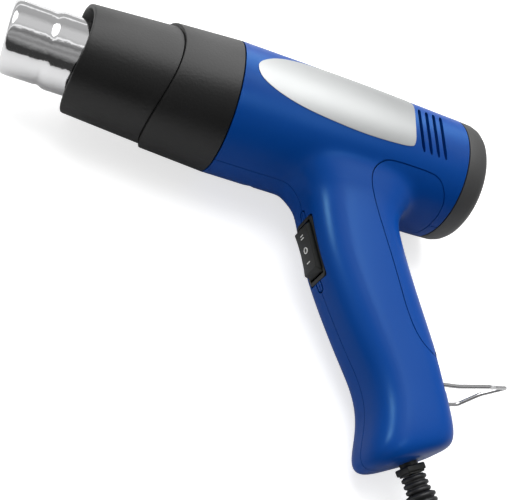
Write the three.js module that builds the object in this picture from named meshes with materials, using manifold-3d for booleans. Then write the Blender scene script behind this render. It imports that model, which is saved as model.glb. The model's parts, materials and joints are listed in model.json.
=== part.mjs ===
// Hot air tool, lying on its right side, in millimetres.
// Tool frame: x runs back along the barrel from the collar mouth, y is the tool's top, z its left side.
import * as THREE from "three";
import { mergeVertices } from "three/addons/utils/BufferGeometryUtils.js";
import Module from "manifold-3d";

const wasm = await Module();
wasm.setup();

// Barrel stack, front to back
const NOZZLE_REACH = 29.8;
const FRONT_RING_START = -1.6;
const FRONT_RING_END = 33.4;
const REAR_RING_LENGTH = 28.7;
const BARREL_LENGTH = 109.7;
const CAP_LENGTH = 12.4;
const FRONT_RING_MOUTH_R = 23.1;
const FRONT_RING_END_R = 25.9;
const REAR_RING_START_R = 27.4;
const MOUTH_WAVE = 1.7;
const SEAM_WAVE = 3.2;
const BARREL_R = 29.5;
const BARREL_END_R = 29;
const BARREL_CROWN = 0.5;
const WALL = 2.3;
const GAP = 0.3;

// Nozzle tube and heater
const NOZZLE_R = 15.5;
const NOZZLE_NECK_R = 16.4;
const NOZZLE_SHEET = 0.9;
const NOZZLE_SHOULDER_X = -14;
const NOZZLE_TAIL_X = 78;
const HEATER_START_X = -18;
const HEATER_LENGTH = 78;
const SLEEVE_R = 14.1;
const WINDING_R = 10.9;
const WINDING_WIRE_R = 0.7;
const WINDING_TURNS = 4;
const WINDING_PITCH = 16;

// Blower
const MOTOR_X = 104;
const MOTOR_LENGTH = 37;
const MOTOR_R = 13.8;
const SHAFT_R = 1.15;
const FAN_SETBACK = 8;
const FAN_LENGTH = 11;
const FAN_CLEARANCE = 3.2;
const FAN_BLADES = 9;

// Switch in the front of the handle
const SWITCH_X = 108.4;
const SWITCH_Y = -60.8;
const SWITCH_RAKE = 0.27;
const BEZEL_LENGTH = 28.5;
const BEZEL_WIDTH = 13;
const BEZEL_THICKNESS = 1.8;
const SWITCH_DEPTH = 17;
const ROCKER_LENGTH = 23.4;
const ROCKER_WIDTH = 10;
const ROCKER_PROUD = 3.6;
const POCKET_LENGTH = 35;
const POCKET_WIDTH = 4;

// Wire stand at the back of the handle
const STAND_WIRE_R = 1.05;
const STAND_SETBACK = 6.4;
const STAND_PIVOT_Y = -113.2;
const STAND_HALF_WIDTH = 11;
const STAND_ARM = 25.9;
const STAND_ARM_RISE = 4.3;
const STAND_REACH = 43.5;
const STAND_RISE = 11.5;
const STAND_TIP_HALF_WIDTH = 4.3;
const STAND_SLOT_WIDTH = 3.6;

// Cord
const CORD_R = 3.5;
const COIL_TURNS = 6.5;
const COIL_PITCH = 7.8;
const COIL_INNER_R = 26;
const COIL_STEPS = 24;
const COIL_CENTRE_X = 160;
const COIL_CENTRE_Y = -300;
const FLOOR_CLEARANCE = 0.25;
const BOOT_R = 6.2;
const BOOT_NECK_R = 4.9;
const BOOT_NECK_RIBS = 3;
const BOOT_LENGTH = 34;
const BOOT_RIBS = 15;
const PLUG_PIN_R = 2;
const PLUG_PIN_SPACING = 19;

// The tool lies on barrel and handle end, so it is rolled a little about the barrel
const ROLL = 0.0985;

const REAR_RING_X = FRONT_RING_END + GAP;
const BARREL_X = REAR_RING_X + REAR_RING_LENGTH;
const CAP_X = BARREL_X + BARREL_LENGTH;
const BORE_R = BARREL_R - WALL;
const BORE_END_R = BARREL_END_R - WALL;
const NOZZLE_FLANGE_R = BORE_R - 1;
const FAN_R = BORE_END_R - FAN_CLEARANCE;
const FAN_X = MOTOR_X + MOTOR_LENGTH + FAN_SETBACK;

// Handle sections from the barrel down: front point, back point, half thickness
const HANDLE_SECTIONS = [
  [86, -20, 160, -19, 20.5],
  [96, -29.6, 154, -28, 18.8],
  [100.8, -34.4, 149, -34, 17.2],
  [103, -40.5, 146.6, -40, 16.4],
  [104.4, -49, 146.9, -46, 15.8],
  [107.9, -67, 151.1, -62, 15.2],
  [115.5, -86, 155.5, -78, 15.2],
  [123.8, -104, 159.6, -92, 15.2],
  [130.6, -116.5, 162.6, -105, 15.4],
  [132.3, -128.6, 164.6, -117.5, 15.8],
  [129.6, -140.6, 166.6, -128.2, 16.2],
  [129.2, -146.3, 166.4, -133.8, 15.2],
  [131.8, -149, 164.4, -136.4, 12.8],
  [137.5, -147.9, 160.4, -138.6, 8.6],
];

// Place along the tool of the handle's back at a height
function handleBackAt(y) {
  const below = HANDLE_SECTIONS.findIndex(([, , , backY]) => backY < y);
  const [, , upperX, upperY] = HANDLE_SECTIONS[below - 1];
  const [, , lowerX, lowerY] = HANDLE_SECTIONS[below];
  return THREE.MathUtils.mapLinear(y, upperY, lowerY, upperX, lowerX);
}

const STAND_PIVOT_X = handleBackAt(STAND_PIVOT_Y) - STAND_SETBACK;

// Side outline of the separate back grip, clockwise from its lower tip
const GRIP_OUTLINE = [
  [176, -104.5],
  [155, -103.5],
  [147.6, -97.5],
  [143, -86],
  [140.2, -74],
  [136.4, -59.8],
  [129, -37.6],
  [126.4, -29],
  [127.6, -23.2],
  [131, -19.8],
  [135.5, -18.6],
  [155, -18.4],
  [160, -19.4],
  [163.6, -21.8],
  [166.8, -25],
  [168.6, -29.5],
  [168.6, -40],
  [176, -40],
];

const SCREW_SPOTS = [
  [85, -22.4, 15.5],
  [98, 20, 18.6],
  [131, -76, 14.4],
  [140, -109.4, 14.4],
  [158.5, -128, 13.2],
];
const POST_R = 3.6;
const SCREW_R = 1.4;
const SCREW_HEAD_R = 2.7;
const SCREW_RECESS = 2.4;

// Side outline of the nameplate from its front tip: lower edge, rear end, upper edge
const PLATE_LOWER = [
  [67.6, 0.8],
  [68.6, -3.2],
  [72.1, -6.3],
  [80.1, -9.5],
  [90.4, -11.6],
  [102.6, -12.7],
  [115, -13.4],
  [128, -13.3],
];
const PLATE_REAR = [
  [142.4, -12.3],
  [144.2, -10.4],
  [143.3, -2],
  [143.5, 4],
  [144.9, 12.5],
  [145.2, 16],
  [143.4, 18.2],
];
const PLATE_UPPER = [
  [128, 18.6],
  [114, 18.4],
  [101, 17.4],
  [90, 15.4],
  [81.5, 12.6],
  [75.3, 9.4],
  [70.4, 5.4],
  [68.4, 3],
];
const PLATE_SHEET = 0.22;
const PLATE_LIFT = 0.13;

// Vent slots on both sides of the barrel's end
const SLOT_COUNT = 4;
const SLOT_FRONT_X = 146.3;
const SLOT_PITCH = 3.8;
const SLOT_WIDTH = 1.7;
const SLOT_LENGTH = 23.6;
const SLOT_MIDDLE_Y = -0.5;
const SLOT_BOW = 2;
const SLOT_LEAN = 0.8;

// Size of the blocks that take away all of one side
const CUT_REACH = 300;

// Radius of the barrel's bore at a place along it
function boreAt(x) {
  return THREE.MathUtils.mapLinear(x, BARREL_X, CAP_X, BORE_R, BORE_END_R);
}

// Radius of the barrel's outside, which is crowned a little between its ends
function skinAt(x) {
  const along = THREE.MathUtils.inverseLerp(BARREL_X, CAP_X, x);
  return boreAt(x) + WALL + BARREL_CROWN * Math.sin(Math.PI * along);
}

// Outside of the barrel between two places along it, lifted a little
function barrelSkin(from, to, lift) {
  const profile = [[from, 0]];
  const steps = 4;
  for (let i = 0; i <= steps; i += 1) {
    const x = THREE.MathUtils.lerp(from, to, i / steps);
    profile.push([x, skinAt(x) + lift]);
  }
  profile.push([to, 0]);
  return turned(profile);
}

// Solids to and from manifold-3d
function toSolid(geometry) {
  const bare = geometry.clone();
  bare.deleteAttribute("normal");
  bare.deleteAttribute("uv");
  const merged = mergeVertices(bare, 1e-4);
  const triangles = new Uint32Array(merged.index.array);
  const made = new wasm.Mesh({
    numProp: 3,
    vertProperties: merged.attributes.position.array,
    triVerts: triangles,
  });
  return new wasm.Manifold(made);
}

function fromSolid(solid) {
  const mesh = solid.getMesh();
  const geometry = new THREE.BufferGeometry();
  const points = new THREE.BufferAttribute(mesh.vertProperties, mesh.numProp);
  geometry.setAttribute("position", points);
  geometry.setIndex(new THREE.BufferAttribute(mesh.triVerts, 1));
  geometry.computeVertexNormals();
  return geometry;
}

function joined(...geometries) {
  const solids = geometries.map(toSolid);
  return fromSolid(solids.reduce((whole, next) => whole.add(next)));
}

function cut(geometry, ...tools) {
  const solids = tools.map(toSolid);
  return fromSolid(solids.reduce((whole, tool) => whole.subtract(tool), toSolid(geometry)));
}

function common(first, second) {
  return fromSolid(toSolid(first).intersect(toSolid(second)));
}

// A box given by its middle and size
function block(x, y, z, length, height, width) {
  return new THREE.BoxGeometry(length, height, width).translate(x, y, z);
}

// A round bar along x, y or z
function bar(axis, x, y, z, radius, length, sides = 12) {
  const made = new THREE.CylinderGeometry(radius, radius, length, sides);
  if (axis === "x") made.rotateZ(Math.PI / 2);
  if (axis === "z") made.rotateX(Math.PI / 2);
  return made.translate(x, y, z);
}

// A body turned about the barrel axis from a closed profile of [x, radius]
function turned(profile, sides = 30) {
  const points = [...profile, profile[0]].map(([x, r]) => new THREE.Vector2(r, x));
  return new THREE.LatheGeometry(points, sides).rotateZ(-Math.PI / 2);
}

// A plate drawn in the side view and pushed through the tool
function sideCut(outline, fromZ, toZ) {
  const shape = new THREE.Shape(outline.map(([x, y]) => new THREE.Vector2(x, y)));
  const made = new THREE.ExtrudeGeometry(shape, { depth: toZ - fromZ, bevelEnabled: false });
  return made.translate(0, 0, fromZ);
}

// A round tube along a list of points
function tube(points, radius, sides, steps, smooth = true) {
  const vectors = points.map((p) => new THREE.Vector3(...p));
  const path = smooth ? new THREE.CatmullRomCurve3(vectors, false, "centripetal") : straightPath(vectors);
  const ring = new THREE.Shape();
  for (let i = 0; i < sides; i += 1) {
    const angle = (2 * Math.PI * i) / sides;
    const move = i ? "lineTo" : "moveTo";
    ring[move](radius * Math.cos(angle), radius * Math.sin(angle));
  }
  return new THREE.ExtrudeGeometry(ring, { steps, extrudePath: path, bevelEnabled: false });
}

function straightPath(vectors) {
  const path = new THREE.CurvePath();
  vectors.slice(1).forEach((end, i) => path.add(new THREE.LineCurve3(vectors[i], end)));
  return path;
}

// One closed skin through the handle sections, taken in by the wall where it is the inside
function handleBody(inset) {
  const sides = 20;
  const squareness = 3;
  const rows = inset ? HANDLE_SECTIONS.slice(0, -1) : HANDLE_SECTIONS;
  const positions = [];
  rows.forEach(([frontX, frontY, backX, backY, half], row) => {
    const depth = Math.hypot(backX - frontX, backY - frontY) / 2;
    const share = (depth - inset) / depth;
    const lift = inset && row === rows.length - 1 ? inset : 0;
    for (let i = 0; i < sides; i += 1) {
      const angle = (2 * Math.PI * i) / sides;
      const along = Math.sign(Math.cos(angle)) * Math.abs(Math.cos(angle)) ** (2 / squareness);
      const across = Math.sign(Math.sin(angle)) * Math.abs(Math.sin(angle)) ** (2 / squareness);
      positions.push(
        (frontX + backX) / 2 + (share * along * (backX - frontX)) / 2,
        (frontY + backY) / 2 + (share * along * (backY - frontY)) / 2 + lift,
        across * (half - inset),
      );
    }
  });
  const indices = [];
  const last = (rows.length - 1) * sides;
  for (let row = 0; row < rows.length - 1; row += 1) {
    for (let i = 0; i < sides; i += 1) {
      const a = row * sides + i;
      const b = row * sides + ((i + 1) % sides);
      indices.push(a, b, a + sides, b, b + sides, a + sides);
    }
  }
  for (let i = 1; i < sides - 1; i += 1) {
    indices.push(0, i + 1, i);
    indices.push(last, last + i, last + i + 1);
  }
  const geometry = new THREE.BufferGeometry();
  geometry.setAttribute("position", new THREE.Float32BufferAttribute(positions, 3));
  geometry.setIndex(indices);
  return geometry;
}

function switchPlaced(geometry) {
  return geometry.rotateZ(SWITCH_RAKE).translate(SWITCH_X, SWITCH_Y, 0);
}

// The whole hollow housing before it is split into its halves and the back grip
function housingSkin() {
  const barrel = barrelSkin(BARREL_X, CAP_X, 0);
  const barrelBore = turned([
    [BARREL_X - 1, 0],
    [BARREL_X - 1, BORE_R],
    [CAP_X + 1, BORE_END_R],
    [CAP_X + 1, 0],
  ]);
  const posts = SCREW_SPOTS.map(([x, y, half]) => bar("z", x, y, 0, POST_R, 2 * half - 1, 8));
  const outside = joined(barrel, handleBody(0));
  const hollow = cut(outside, barrelBore, handleBody(WALL));
  const bezelHole = switchPlaced(block(3, 0, 0, 20, BEZEL_LENGTH + 2 * GAP, BEZEL_WIDTH + 2 * GAP));
  const pocket = switchPlaced(block(-3.8, 0, 0, 10, POCKET_LENGTH, POCKET_WIDTH));
  const glandHole = glandPlaced(new THREE.CylinderGeometry(3.9, 3.9, 12, 16).translate(0, 3, 0));
  const openings = [bezelHole, pocket, glandHole, ...ventSlots(), ...standSlots(), ...screwHoles()];
  return cut(joined(hollow, common(joined(...posts), outside)), ...openings);
}

// Side outline of a vent slot, bowed forward at its middle and leaning forward at its top
function slotOutline(x) {
  const front = [];
  const back = [];
  const steps = 6;
  for (let i = 0; i <= steps; i += 1) {
    const share = (2 * i) / steps - 1;
    const middle = x + SLOT_BOW * share ** 2 - SLOT_LEAN * share;
    const y = SLOT_MIDDLE_Y + (share * SLOT_LENGTH) / 2;
    back.push([middle + SLOT_WIDTH / 2, y]);
    front.unshift([middle - SLOT_WIDTH / 2, y]);
  }
  return [...back, ...front];
}

function ventSlots() {
  const slots = [];
  for (let i = 0; i < SLOT_COUNT; i += 1) {
    const outline = slotOutline(SLOT_FRONT_X + i * SLOT_PITCH);
    slots.push(sideCut(outline, 23, 33), sideCut(outline, -33, -23));
  }
  return slots;
}

function standSlots() {
  return [-1, 1].map((side) =>
    block(STAND_PIVOT_X + 5, STAND_PIVOT_Y + 5, side * STAND_HALF_WIDTH, 16, 16, STAND_SLOT_WIDTH),
  );
}

function screwHoles() {
  return SCREW_SPOTS.flatMap(([x, y, half]) => [
    bar("z", x, y, -2, SCREW_R + GAP, 2 * half - 6, 8),
    bar("z", x, y, -half - 3, SCREW_HEAD_R + GAP, 2 * SCREW_RECESS + 6),
  ]);
}

function housingHalf(side) {
  const other = block(0, 0, (side * (GAP - CUT_REACH)) / 2, 2 * CUT_REACH, 2 * CUT_REACH, CUT_REACH);
  return cut(housingSkin(), other, sideCut(GRIP_OUTLINE, -60, 60));
}

function gripPiece() {
  const inset = GRIP_OUTLINE.map(([x, y], i) => {
    const [px, py] = GRIP_OUTLINE[(i + GRIP_OUTLINE.length - 1) % GRIP_OUTLINE.length];
    const [nx, ny] = GRIP_OUTLINE[(i + 1) % GRIP_OUTLINE.length];
    const length = Math.hypot(nx - px, ny - py);
    return [x + (GAP * (ny - py)) / length, y - (GAP * (nx - px)) / length];
  });
  return common(housingSkin(), sideCut(inset, -60, 60));
}

function screw([x, y, half]) {
  const head = bar("z", x, y, -half + SCREW_RECESS - GAP - 0.8, SCREW_HEAD_R, 1.6);
  const shank = bar("z", x, y, -2.6, SCREW_R, 2 * half - 9.2, 8);
  const driverSlot = block(x, y, -half + SCREW_RECESS - 1.9, 3.6, 0.7, 1.2);
  return cut(joined(head, shank), driverSlot);
}

// The collar rings meet in a wave: back at the sides, forward above and below
function waved(geometry, waveAt) {
  const places = geometry.attributes.position;
  for (let i = 0; i < places.count; i += 1) {
    const x = places.getX(i);
    const around = Math.atan2(places.getY(i), places.getZ(i));
    places.setX(i, x + waveAt(x) * Math.cos(2 * around));
  }
  return geometry;
}

function frontRing() {
  const wall = 2.1;
  const start = FRONT_RING_START;
  const ring = turned([
    [start + 0.5, FRONT_RING_MOUTH_R],
    [FRONT_RING_END, FRONT_RING_END_R],
    [FRONT_RING_END, FRONT_RING_END_R - wall],
    [start + 0.5, FRONT_RING_MOUTH_R - wall],
    [start, FRONT_RING_MOUTH_R - wall + 0.5],
    [start, FRONT_RING_MOUTH_R - 0.5],
  ]);
  return waved(ring, (x) => THREE.MathUtils.mapLinear(x, start, FRONT_RING_END, MOUTH_WAVE, SEAM_WAVE));
}

function rearRing() {
  const wall = 2.1;
  const flange = REAR_RING_X + 2;
  const end = REAR_RING_X + REAR_RING_LENGTH - GAP;
  const ring = turned([
    [REAR_RING_X, REAR_RING_START_R - 0.5],
    [REAR_RING_X + 0.5, REAR_RING_START_R],
    [end, BARREL_R],
    [end, BORE_R - 0.4],
    [end + 6, BORE_R - 0.4],
    [end + 6, BORE_R - 2.4],
    [flange, REAR_RING_START_R - wall],
    [flange, 21.5],
    [REAR_RING_X, 21.5],
  ]);
  return waved(ring, (x) => (x > flange + 1 ? 0 : SEAM_WAVE));
}

function nozzle() {
  const lip = -NOZZLE_REACH;
  const flangeX = BARREL_X + 6.4;
  const bore = NOZZLE_NECK_R - NOZZLE_SHEET;
  return turned([
    [lip + 0.8, NOZZLE_R - 1],
    [lip + 2.2, NOZZLE_R - 0.2],
    [lip + 3.6, NOZZLE_R],
    [NOZZLE_SHOULDER_X, NOZZLE_R],
    [NOZZLE_SHOULDER_X + 3.5, NOZZLE_NECK_R],
    [flangeX, NOZZLE_NECK_R],
    [flangeX, NOZZLE_FLANGE_R],
    [flangeX + 1.5, NOZZLE_FLANGE_R],
    [flangeX + 1.5, NOZZLE_NECK_R],
    [NOZZLE_TAIL_X, NOZZLE_NECK_R],
    [NOZZLE_TAIL_X, bore],
    [NOZZLE_SHOULDER_X + 3.5, bore],
    [NOZZLE_SHOULDER_X, NOZZLE_R - NOZZLE_SHEET],
    [lip + 3.6, NOZZLE_R - NOZZLE_SHEET],
    [lip + 2, NOZZLE_R - 2.4],
    [lip + 0.6, NOZZLE_R - 2.6],
    [lip, NOZZLE_R - 1.8],
  ]);
}

function rearCap() {
  const shell = turned([
    [CAP_X + GAP, BARREL_END_R],
    [CAP_X + 7, BARREL_END_R - 0.2],
    [CAP_X + 10.6, BARREL_END_R - 1.6],
    [CAP_X + CAP_LENGTH, BARREL_END_R - 4.4],
    [CAP_X + CAP_LENGTH, 0],
    [CAP_X + CAP_LENGTH - 2.2, 0],
    [CAP_X + CAP_LENGTH - 2.2, BARREL_END_R - 4.8],
    [CAP_X + GAP, BARREL_END_R - 2.8],
    [CAP_X - 5, BORE_END_R - 2.4],
    [CAP_X - 5, BORE_END_R - 0.4],
    [CAP_X + GAP, BORE_END_R - 0.4],
  ]);
  const slots = [];
  for (let i = -3; i <= 3; i += 1) {
    const reach = Math.sqrt(21.5 ** 2 - (6 * i) ** 2);
    slots.push(block(CAP_X + CAP_LENGTH, 6 * i, reach / 2 + 0.9, 8, 3, reach - 1.8));
    slots.push(block(CAP_X + CAP_LENGTH, 6 * i, -reach / 2 - 0.9, 8, 3, reach - 1.8));
  }
  return cut(shell, ...slots);
}

// A curved nameplate over the barrel side, plain
function sidePlate(side) {
  const outer = barrelSkin(BARREL_X, CAP_X, PLATE_LIFT + PLATE_SHEET);
  const shell = cut(outer, barrelSkin(BARREL_X, CAP_X, PLATE_LIFT));
  const outline = [...PLATE_LOWER, ...PLATE_REAR, ...PLATE_UPPER];
  const near = sideCut(outline, side > 0 ? 5 : -2 * BARREL_R, side > 0 ? 2 * BARREL_R : -5);
  return common(shell, near);
}

function switchBody() {
  const bezel = block(0, 0, 0, BEZEL_THICKNESS, BEZEL_LENGTH, BEZEL_WIDTH);
  const body = block(SWITCH_DEPTH / 2 + 0.5, 0, 0, SWITCH_DEPTH, BEZEL_LENGTH - 3.4, BEZEL_WIDTH - 2.2);
  const well = block(0, 0, 0, 16, ROCKER_LENGTH + 1.6, ROCKER_WIDTH + 0.6);
  return switchPlaced(cut(joined(bezel, body), well));
}

function rocker() {
  const outline = new THREE.Shape();
  const half = ROCKER_LENGTH / 2;
  outline.moveTo(-ROCKER_PROUD, half - 2);
  outline.lineTo(-ROCKER_PROUD + 0.7, 0);
  outline.lineTo(-ROCKER_PROUD, -half + 2);
  outline.lineTo(-0.4, -half);
  outline.lineTo(4.6, -4);
  outline.lineTo(4.6, 4);
  outline.lineTo(-0.4, half);
  const made = new THREE.ExtrudeGeometry(outline, { depth: ROCKER_WIDTH, bevelEnabled: false });
  return switchPlaced(made.translate(0, 0, -ROCKER_WIDTH / 2));
}

function switchTerminal(offset) {
  return switchPlaced(block(SWITCH_DEPTH + 3.9, offset, 0, 6.2, 0.8, 4.8));
}

function motorCan() {
  return turned([
    [MOTOR_X, 2.6],
    [MOTOR_X, MOTOR_R],
    [MOTOR_X + MOTOR_LENGTH, MOTOR_R],
    [MOTOR_X + MOTOR_LENGTH, 2.6],
    [MOTOR_X + MOTOR_LENGTH - 1.2, 2.6],
    [MOTOR_X + MOTOR_LENGTH - 1.2, MOTOR_R - 3],
    [MOTOR_X + 1.2, MOTOR_R - 3],
    [MOTOR_X + 1.2, 2.6],
  ], 24);
}

function motorShaft() {
  const start = MOTOR_X + 0.4;
  const end = FAN_X + FAN_LENGTH;
  return bar("x", (start + end) / 2, 0, 0, SHAFT_R, end - start, 12);
}

function motorBearing(x) {
  return turned([
    [x, SHAFT_R + GAP],
    [x, 2.3],
    [x + 2.4, 2.3],
    [x + 2.4, SHAFT_R + GAP],
  ], 12);
}

function armature() {
  const middle = MOTOR_X + MOTOR_LENGTH / 2;
  const core = bar("x", middle, 0, 0, 9.2, 20, 24);
  const grooves = [];
  for (let i = 0; i < 5; i += 1) {
    const groove = block(middle, 9, 0, 22, 5, 2);
    grooves.push(groove.rotateX((2 * Math.PI * i) / 5));
  }
  return cut(core, ...grooves, bar("x", middle, 0, 0, SHAFT_R + GAP, 30, 12));
}

function fan() {
  const hub = bar("x", FAN_X + FAN_LENGTH / 2 - 1, 0, 0, 6.5, FAN_LENGTH - 2, 20);
  const plate = bar("x", FAN_X + 0.8, 0, 0, FAN_R, 1.6, 27);
  const blades = [];
  for (let i = 0; i < FAN_BLADES; i += 1) {
    const blade = block(0, 0, 0, FAN_LENGTH - 1.4, FAN_R - 6.2, 1.2);
    blade.rotateX(0.35);
    blade.translate(FAN_X + FAN_LENGTH / 2 + 0.6, (FAN_R + 5) / 2, 0);
    blades.push(blade.rotateX((2 * Math.PI * i) / FAN_BLADES));
  }
  return cut(joined(hub, plate, ...blades), bar("x", FAN_X, 0, 0, SHAFT_R + GAP, 40, 12));
}

function motorBracket() {
  const x = MOTOR_X + 22;
  const rim = boreAt(x + 2.4) - 0.5;
  const ring = turned([
    [x, MOTOR_R + GAP],
    [x, rim],
    [x + 2.4, rim],
    [x + 2.4, MOTOR_R + GAP],
  ]);
  const ports = [];
  for (let i = 0; i < 8; i += 1) {
    const port = block(x, (MOTOR_R + rim) / 2, 0, 8, (rim - MOTOR_R) / 2, 9);
    ports.push(port.rotateX((2 * Math.PI * (i + 0.5)) / 8));
  }
  return cut(ring, ...ports);
}

function heaterCross() {
  const middle = HEATER_START_X + HEATER_LENGTH / 2;
  return joined(
    block(middle, 0, 0, HEATER_LENGTH, 19.2, 1.2),
    block(middle, 0, 0, HEATER_LENGTH, 1.2, 19.2),
  );
}

function heaterWinding() {
  const points = [];
  const steps = WINDING_TURNS * COIL_STEPS;
  for (let i = 0; i <= steps; i += 1) {
    const turn = i / COIL_STEPS;
    const angle = 2 * Math.PI * turn;
    const x = HEATER_START_X + 6 + turn * WINDING_PITCH;
    points.push([x, WINDING_R * Math.cos(angle), WINDING_R * Math.sin(angle)]);
  }
  return tube(points, WINDING_WIRE_R, 6, steps);
}

function micaSleeve() {
  return turned([
    [HEATER_START_X - 1.6, SLEEVE_R - 0.9],
    [HEATER_START_X - 1.6, SLEEVE_R],
    [HEATER_START_X + HEATER_LENGTH, SLEEVE_R],
    [HEATER_START_X + HEATER_LENGTH, SLEEVE_R - 0.9],
  ], 24);
}

function heaterDisc() {
  const disc = bar("x", HEATER_START_X - 0.9, 0, 0, SLEEVE_R - 1.2, 1.2, 24);
  const holes = [bar("x", HEATER_START_X, 0, 0, 2.6, 8, 8)];
  for (let i = 0; i < 8; i += 1) {
    const hole = bar("x", HEATER_START_X, 8.6, 0, 2.5, 8, 8);
    holes.push(hole.rotateX((2 * Math.PI * i) / 8));
  }
  return cut(disc, ...holes);
}

function heaterBase() {
  const x = NOZZLE_TAIL_X + 0.4;
  const disc = bar("x", x + 1.2, 0, 0, boreAt(x + 2.4) - 0.5, 2.4, 30);
  const holes = [];
  for (let i = 0; i < 6; i += 1) {
    const hole = bar("x", x, 9.4, 0, 3.6, 8);
    holes.push(hole.rotateX((2 * Math.PI * i) / 6));
  }
  return cut(disc, ...holes);
}

function glandPlaced(geometry) {
  const down = Math.atan2(148.6 - 137.4, 162.8 - 135.2);
  return geometry.rotateZ(down).translate(150.4, -143.7, 0);
}

function cordGland() {
  const foot = new THREE.BoxGeometry(8.6, 3.2, 8.6).translate(0, -1.9, 0);
  const neck = new THREE.CylinderGeometry(3.6, 3.6, 8, 16).translate(0, 3.4, 0);
  return glandPlaced(joined(foot, neck));
}

function cordBoot() {
  const profile = [];
  const pitch = BOOT_LENGTH / BOOT_RIBS;
  for (let i = 0; i < BOOT_RIBS; i += 1) {
    const radius = i < BOOT_NECK_RIBS ? BOOT_NECK_R : BOOT_R - (1.6 * i) / BOOT_RIBS;
    profile.push([i * pitch, radius - 0.9]);
    profile.push([(i + 0.35) * pitch, radius]);
    profile.push([(i + 0.75) * pitch, radius]);
  }
  profile.push([BOOT_LENGTH, BOOT_R - 2.2]);
  const points = [new THREE.Vector2(0, 0), new THREE.Vector2(0, -BOOT_LENGTH)];
  profile.toReversed().forEach(([y, r]) => points.push(new THREE.Vector2(r, -y)));
  points.push(new THREE.Vector2(0, 0));
  return glandPlaced(new THREE.LatheGeometry(points, 12).translate(0, -3.8, 0));
}

// Parts inside the handle's foot, drawn along the cord's own axis
function cordInside() {
  return glandPlaced(new THREE.CylinderGeometry(3.2, 3.2, 14, 16).translate(0, 14.7, 0));
}

function clampPlate() {
  const plate = new THREE.BoxGeometry(14.6, 6, 2.2).translate(0, 14, 4.6);
  const holes = [-5, 5].map((x) => bar("z", x, 14, 4, SCREW_R + GAP, 9, 12));
  return glandPlaced(cut(plate, ...holes));
}

function clampScrew(x) {
  const head = bar("z", x, 14, 6.8, 2.1, 1.4);
  const shank = bar("z", x, 14, 1.6, SCREW_R, 9.6, 8);
  return glandPlaced(joined(head, shank));
}

function standHinge() {
  const bracket = block(STAND_PIVOT_X - 1, STAND_PIVOT_Y, 0, 7, 6, 14.4);
  return cut(bracket, bar("z", STAND_PIVOT_X, STAND_PIVOT_Y, 0, STAND_WIRE_R + GAP, 30, 12));
}

function wireStand() {
  const leg = [
    [STAND_PIVOT_X, STAND_PIVOT_Y, 3],
    [STAND_PIVOT_X, STAND_PIVOT_Y, 9],
    [STAND_PIVOT_X + 0.7, STAND_PIVOT_Y, STAND_HALF_WIDTH - 0.3],
    [STAND_PIVOT_X + 2.7, STAND_PIVOT_Y + 0.2, STAND_HALF_WIDTH],
    [STAND_PIVOT_X + 10.1, STAND_PIVOT_Y + 1, STAND_HALF_WIDTH],
    [STAND_PIVOT_X + STAND_ARM, STAND_PIVOT_Y + STAND_ARM_RISE, STAND_HALF_WIDTH],
    [STAND_PIVOT_X + STAND_ARM + 0.9, STAND_PIVOT_Y + STAND_ARM_RISE + 0.5, STAND_HALF_WIDTH - 0.8],
    [STAND_PIVOT_X + STAND_ARM + 6.2, STAND_PIVOT_Y + STAND_ARM_RISE + 3.2, STAND_TIP_HALF_WIDTH + 0.9],
    [STAND_PIVOT_X + STAND_ARM + 7.4, STAND_PIVOT_Y + STAND_ARM_RISE + 3.8, STAND_TIP_HALF_WIDTH],
    [STAND_PIVOT_X + STAND_REACH - 1.6, STAND_PIVOT_Y + STAND_RISE - 0.6, 1.7],
  ];
  const otherLeg = leg.toReversed().map(([x, y, z]) => [x, y, -z]);
  const tip = [STAND_PIVOT_X + STAND_REACH, STAND_PIVOT_Y + STAND_RISE, 0];
  return tube([...leg, tip, ...otherLeg], STAND_WIRE_R, 6, 64);
}

function lead(points) {
  return tube(points, 0.9, 6, 16);
}

function rectifierBoard() {
  return block(MOTOR_X - GAP - 0.8, 0, 0, 1.6, 22, 17);
}

function smoothingCapacitor() {
  return bar("x", MOTOR_X - 2 * GAP - 5.6, 0, 3, 3, 8, 16);
}

function thermalCutout() {
  return bar("x", HEATER_START_X + HEATER_LENGTH + GAP + 4, 2.4, 0, 2.2, 8, 12);
}

// The cord lies on the floor, so its pieces are drawn in the floor's frame
function coilHeight(turn) {
  const climb = THREE.MathUtils.clamp((turn - COIL_TURNS / 2) * 2 + 0.5, 0, 1);
  return CORD_R + FLOOR_CLEARANCE + climb * COIL_PITCH;
}

function coilPoints() {
  const points = [];
  const half = COIL_TURNS / 2;
  for (let i = 0; i <= COIL_TURNS * COIL_STEPS; i += 1) {
    const turn = i / COIL_STEPS;
    const angle = -2 * Math.PI * turn;
    const radius = COIL_INNER_R + Math.abs(turn - half) * COIL_PITCH;
    const x = COIL_CENTRE_X + radius * Math.cos(angle);
    const y = COIL_CENTRE_Y + radius * Math.sin(angle);
    points.push([x, y, coilHeight(turn)]);
  }
  return points;
}

// Least clear distance between coil points more than half a turn apart
function coilClearance(points) {
  let least = Infinity;
  points.forEach((a, i) => {
    points.slice(i + COIL_STEPS / 2).forEach((b) => {
      least = Math.min(least, Math.hypot(a[0] - b[0], a[1] - b[1], a[2] - b[2]));
    });
  });
  return least - 2 * CORD_R;
}

function cordCoil() {
  const turns = coilPoints();
  const [startX, startY, startZ] = turns[0];
  const [endX, endY, endZ] = turns.at(-1);
  const tail = [
    [endX - 0.3, endY + 11, endZ - 0.2],
    [endX - 1.1, endY + 25, endZ - 3],
    [endX - 2.6, endY + 38, endZ - 6.5],
    [endX - 4.6, endY + 47, endZ - 6.8],
    [endX - 6.8, endY + 56, 6.6],
    [endX - 8.4, endY + 63, 7.1],
    [endX - 10, endY + 70, 7.1],
  ];
  const whole = [[startX, startY + 7.5, startZ], ...turns, ...tail];
  console.log("coil clearance", coilClearance(turns).toFixed(2), "mm");
  return tube(whole, CORD_R, 6, Math.round(COIL_TURNS * COIL_STEPS) + 24);
}

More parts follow.
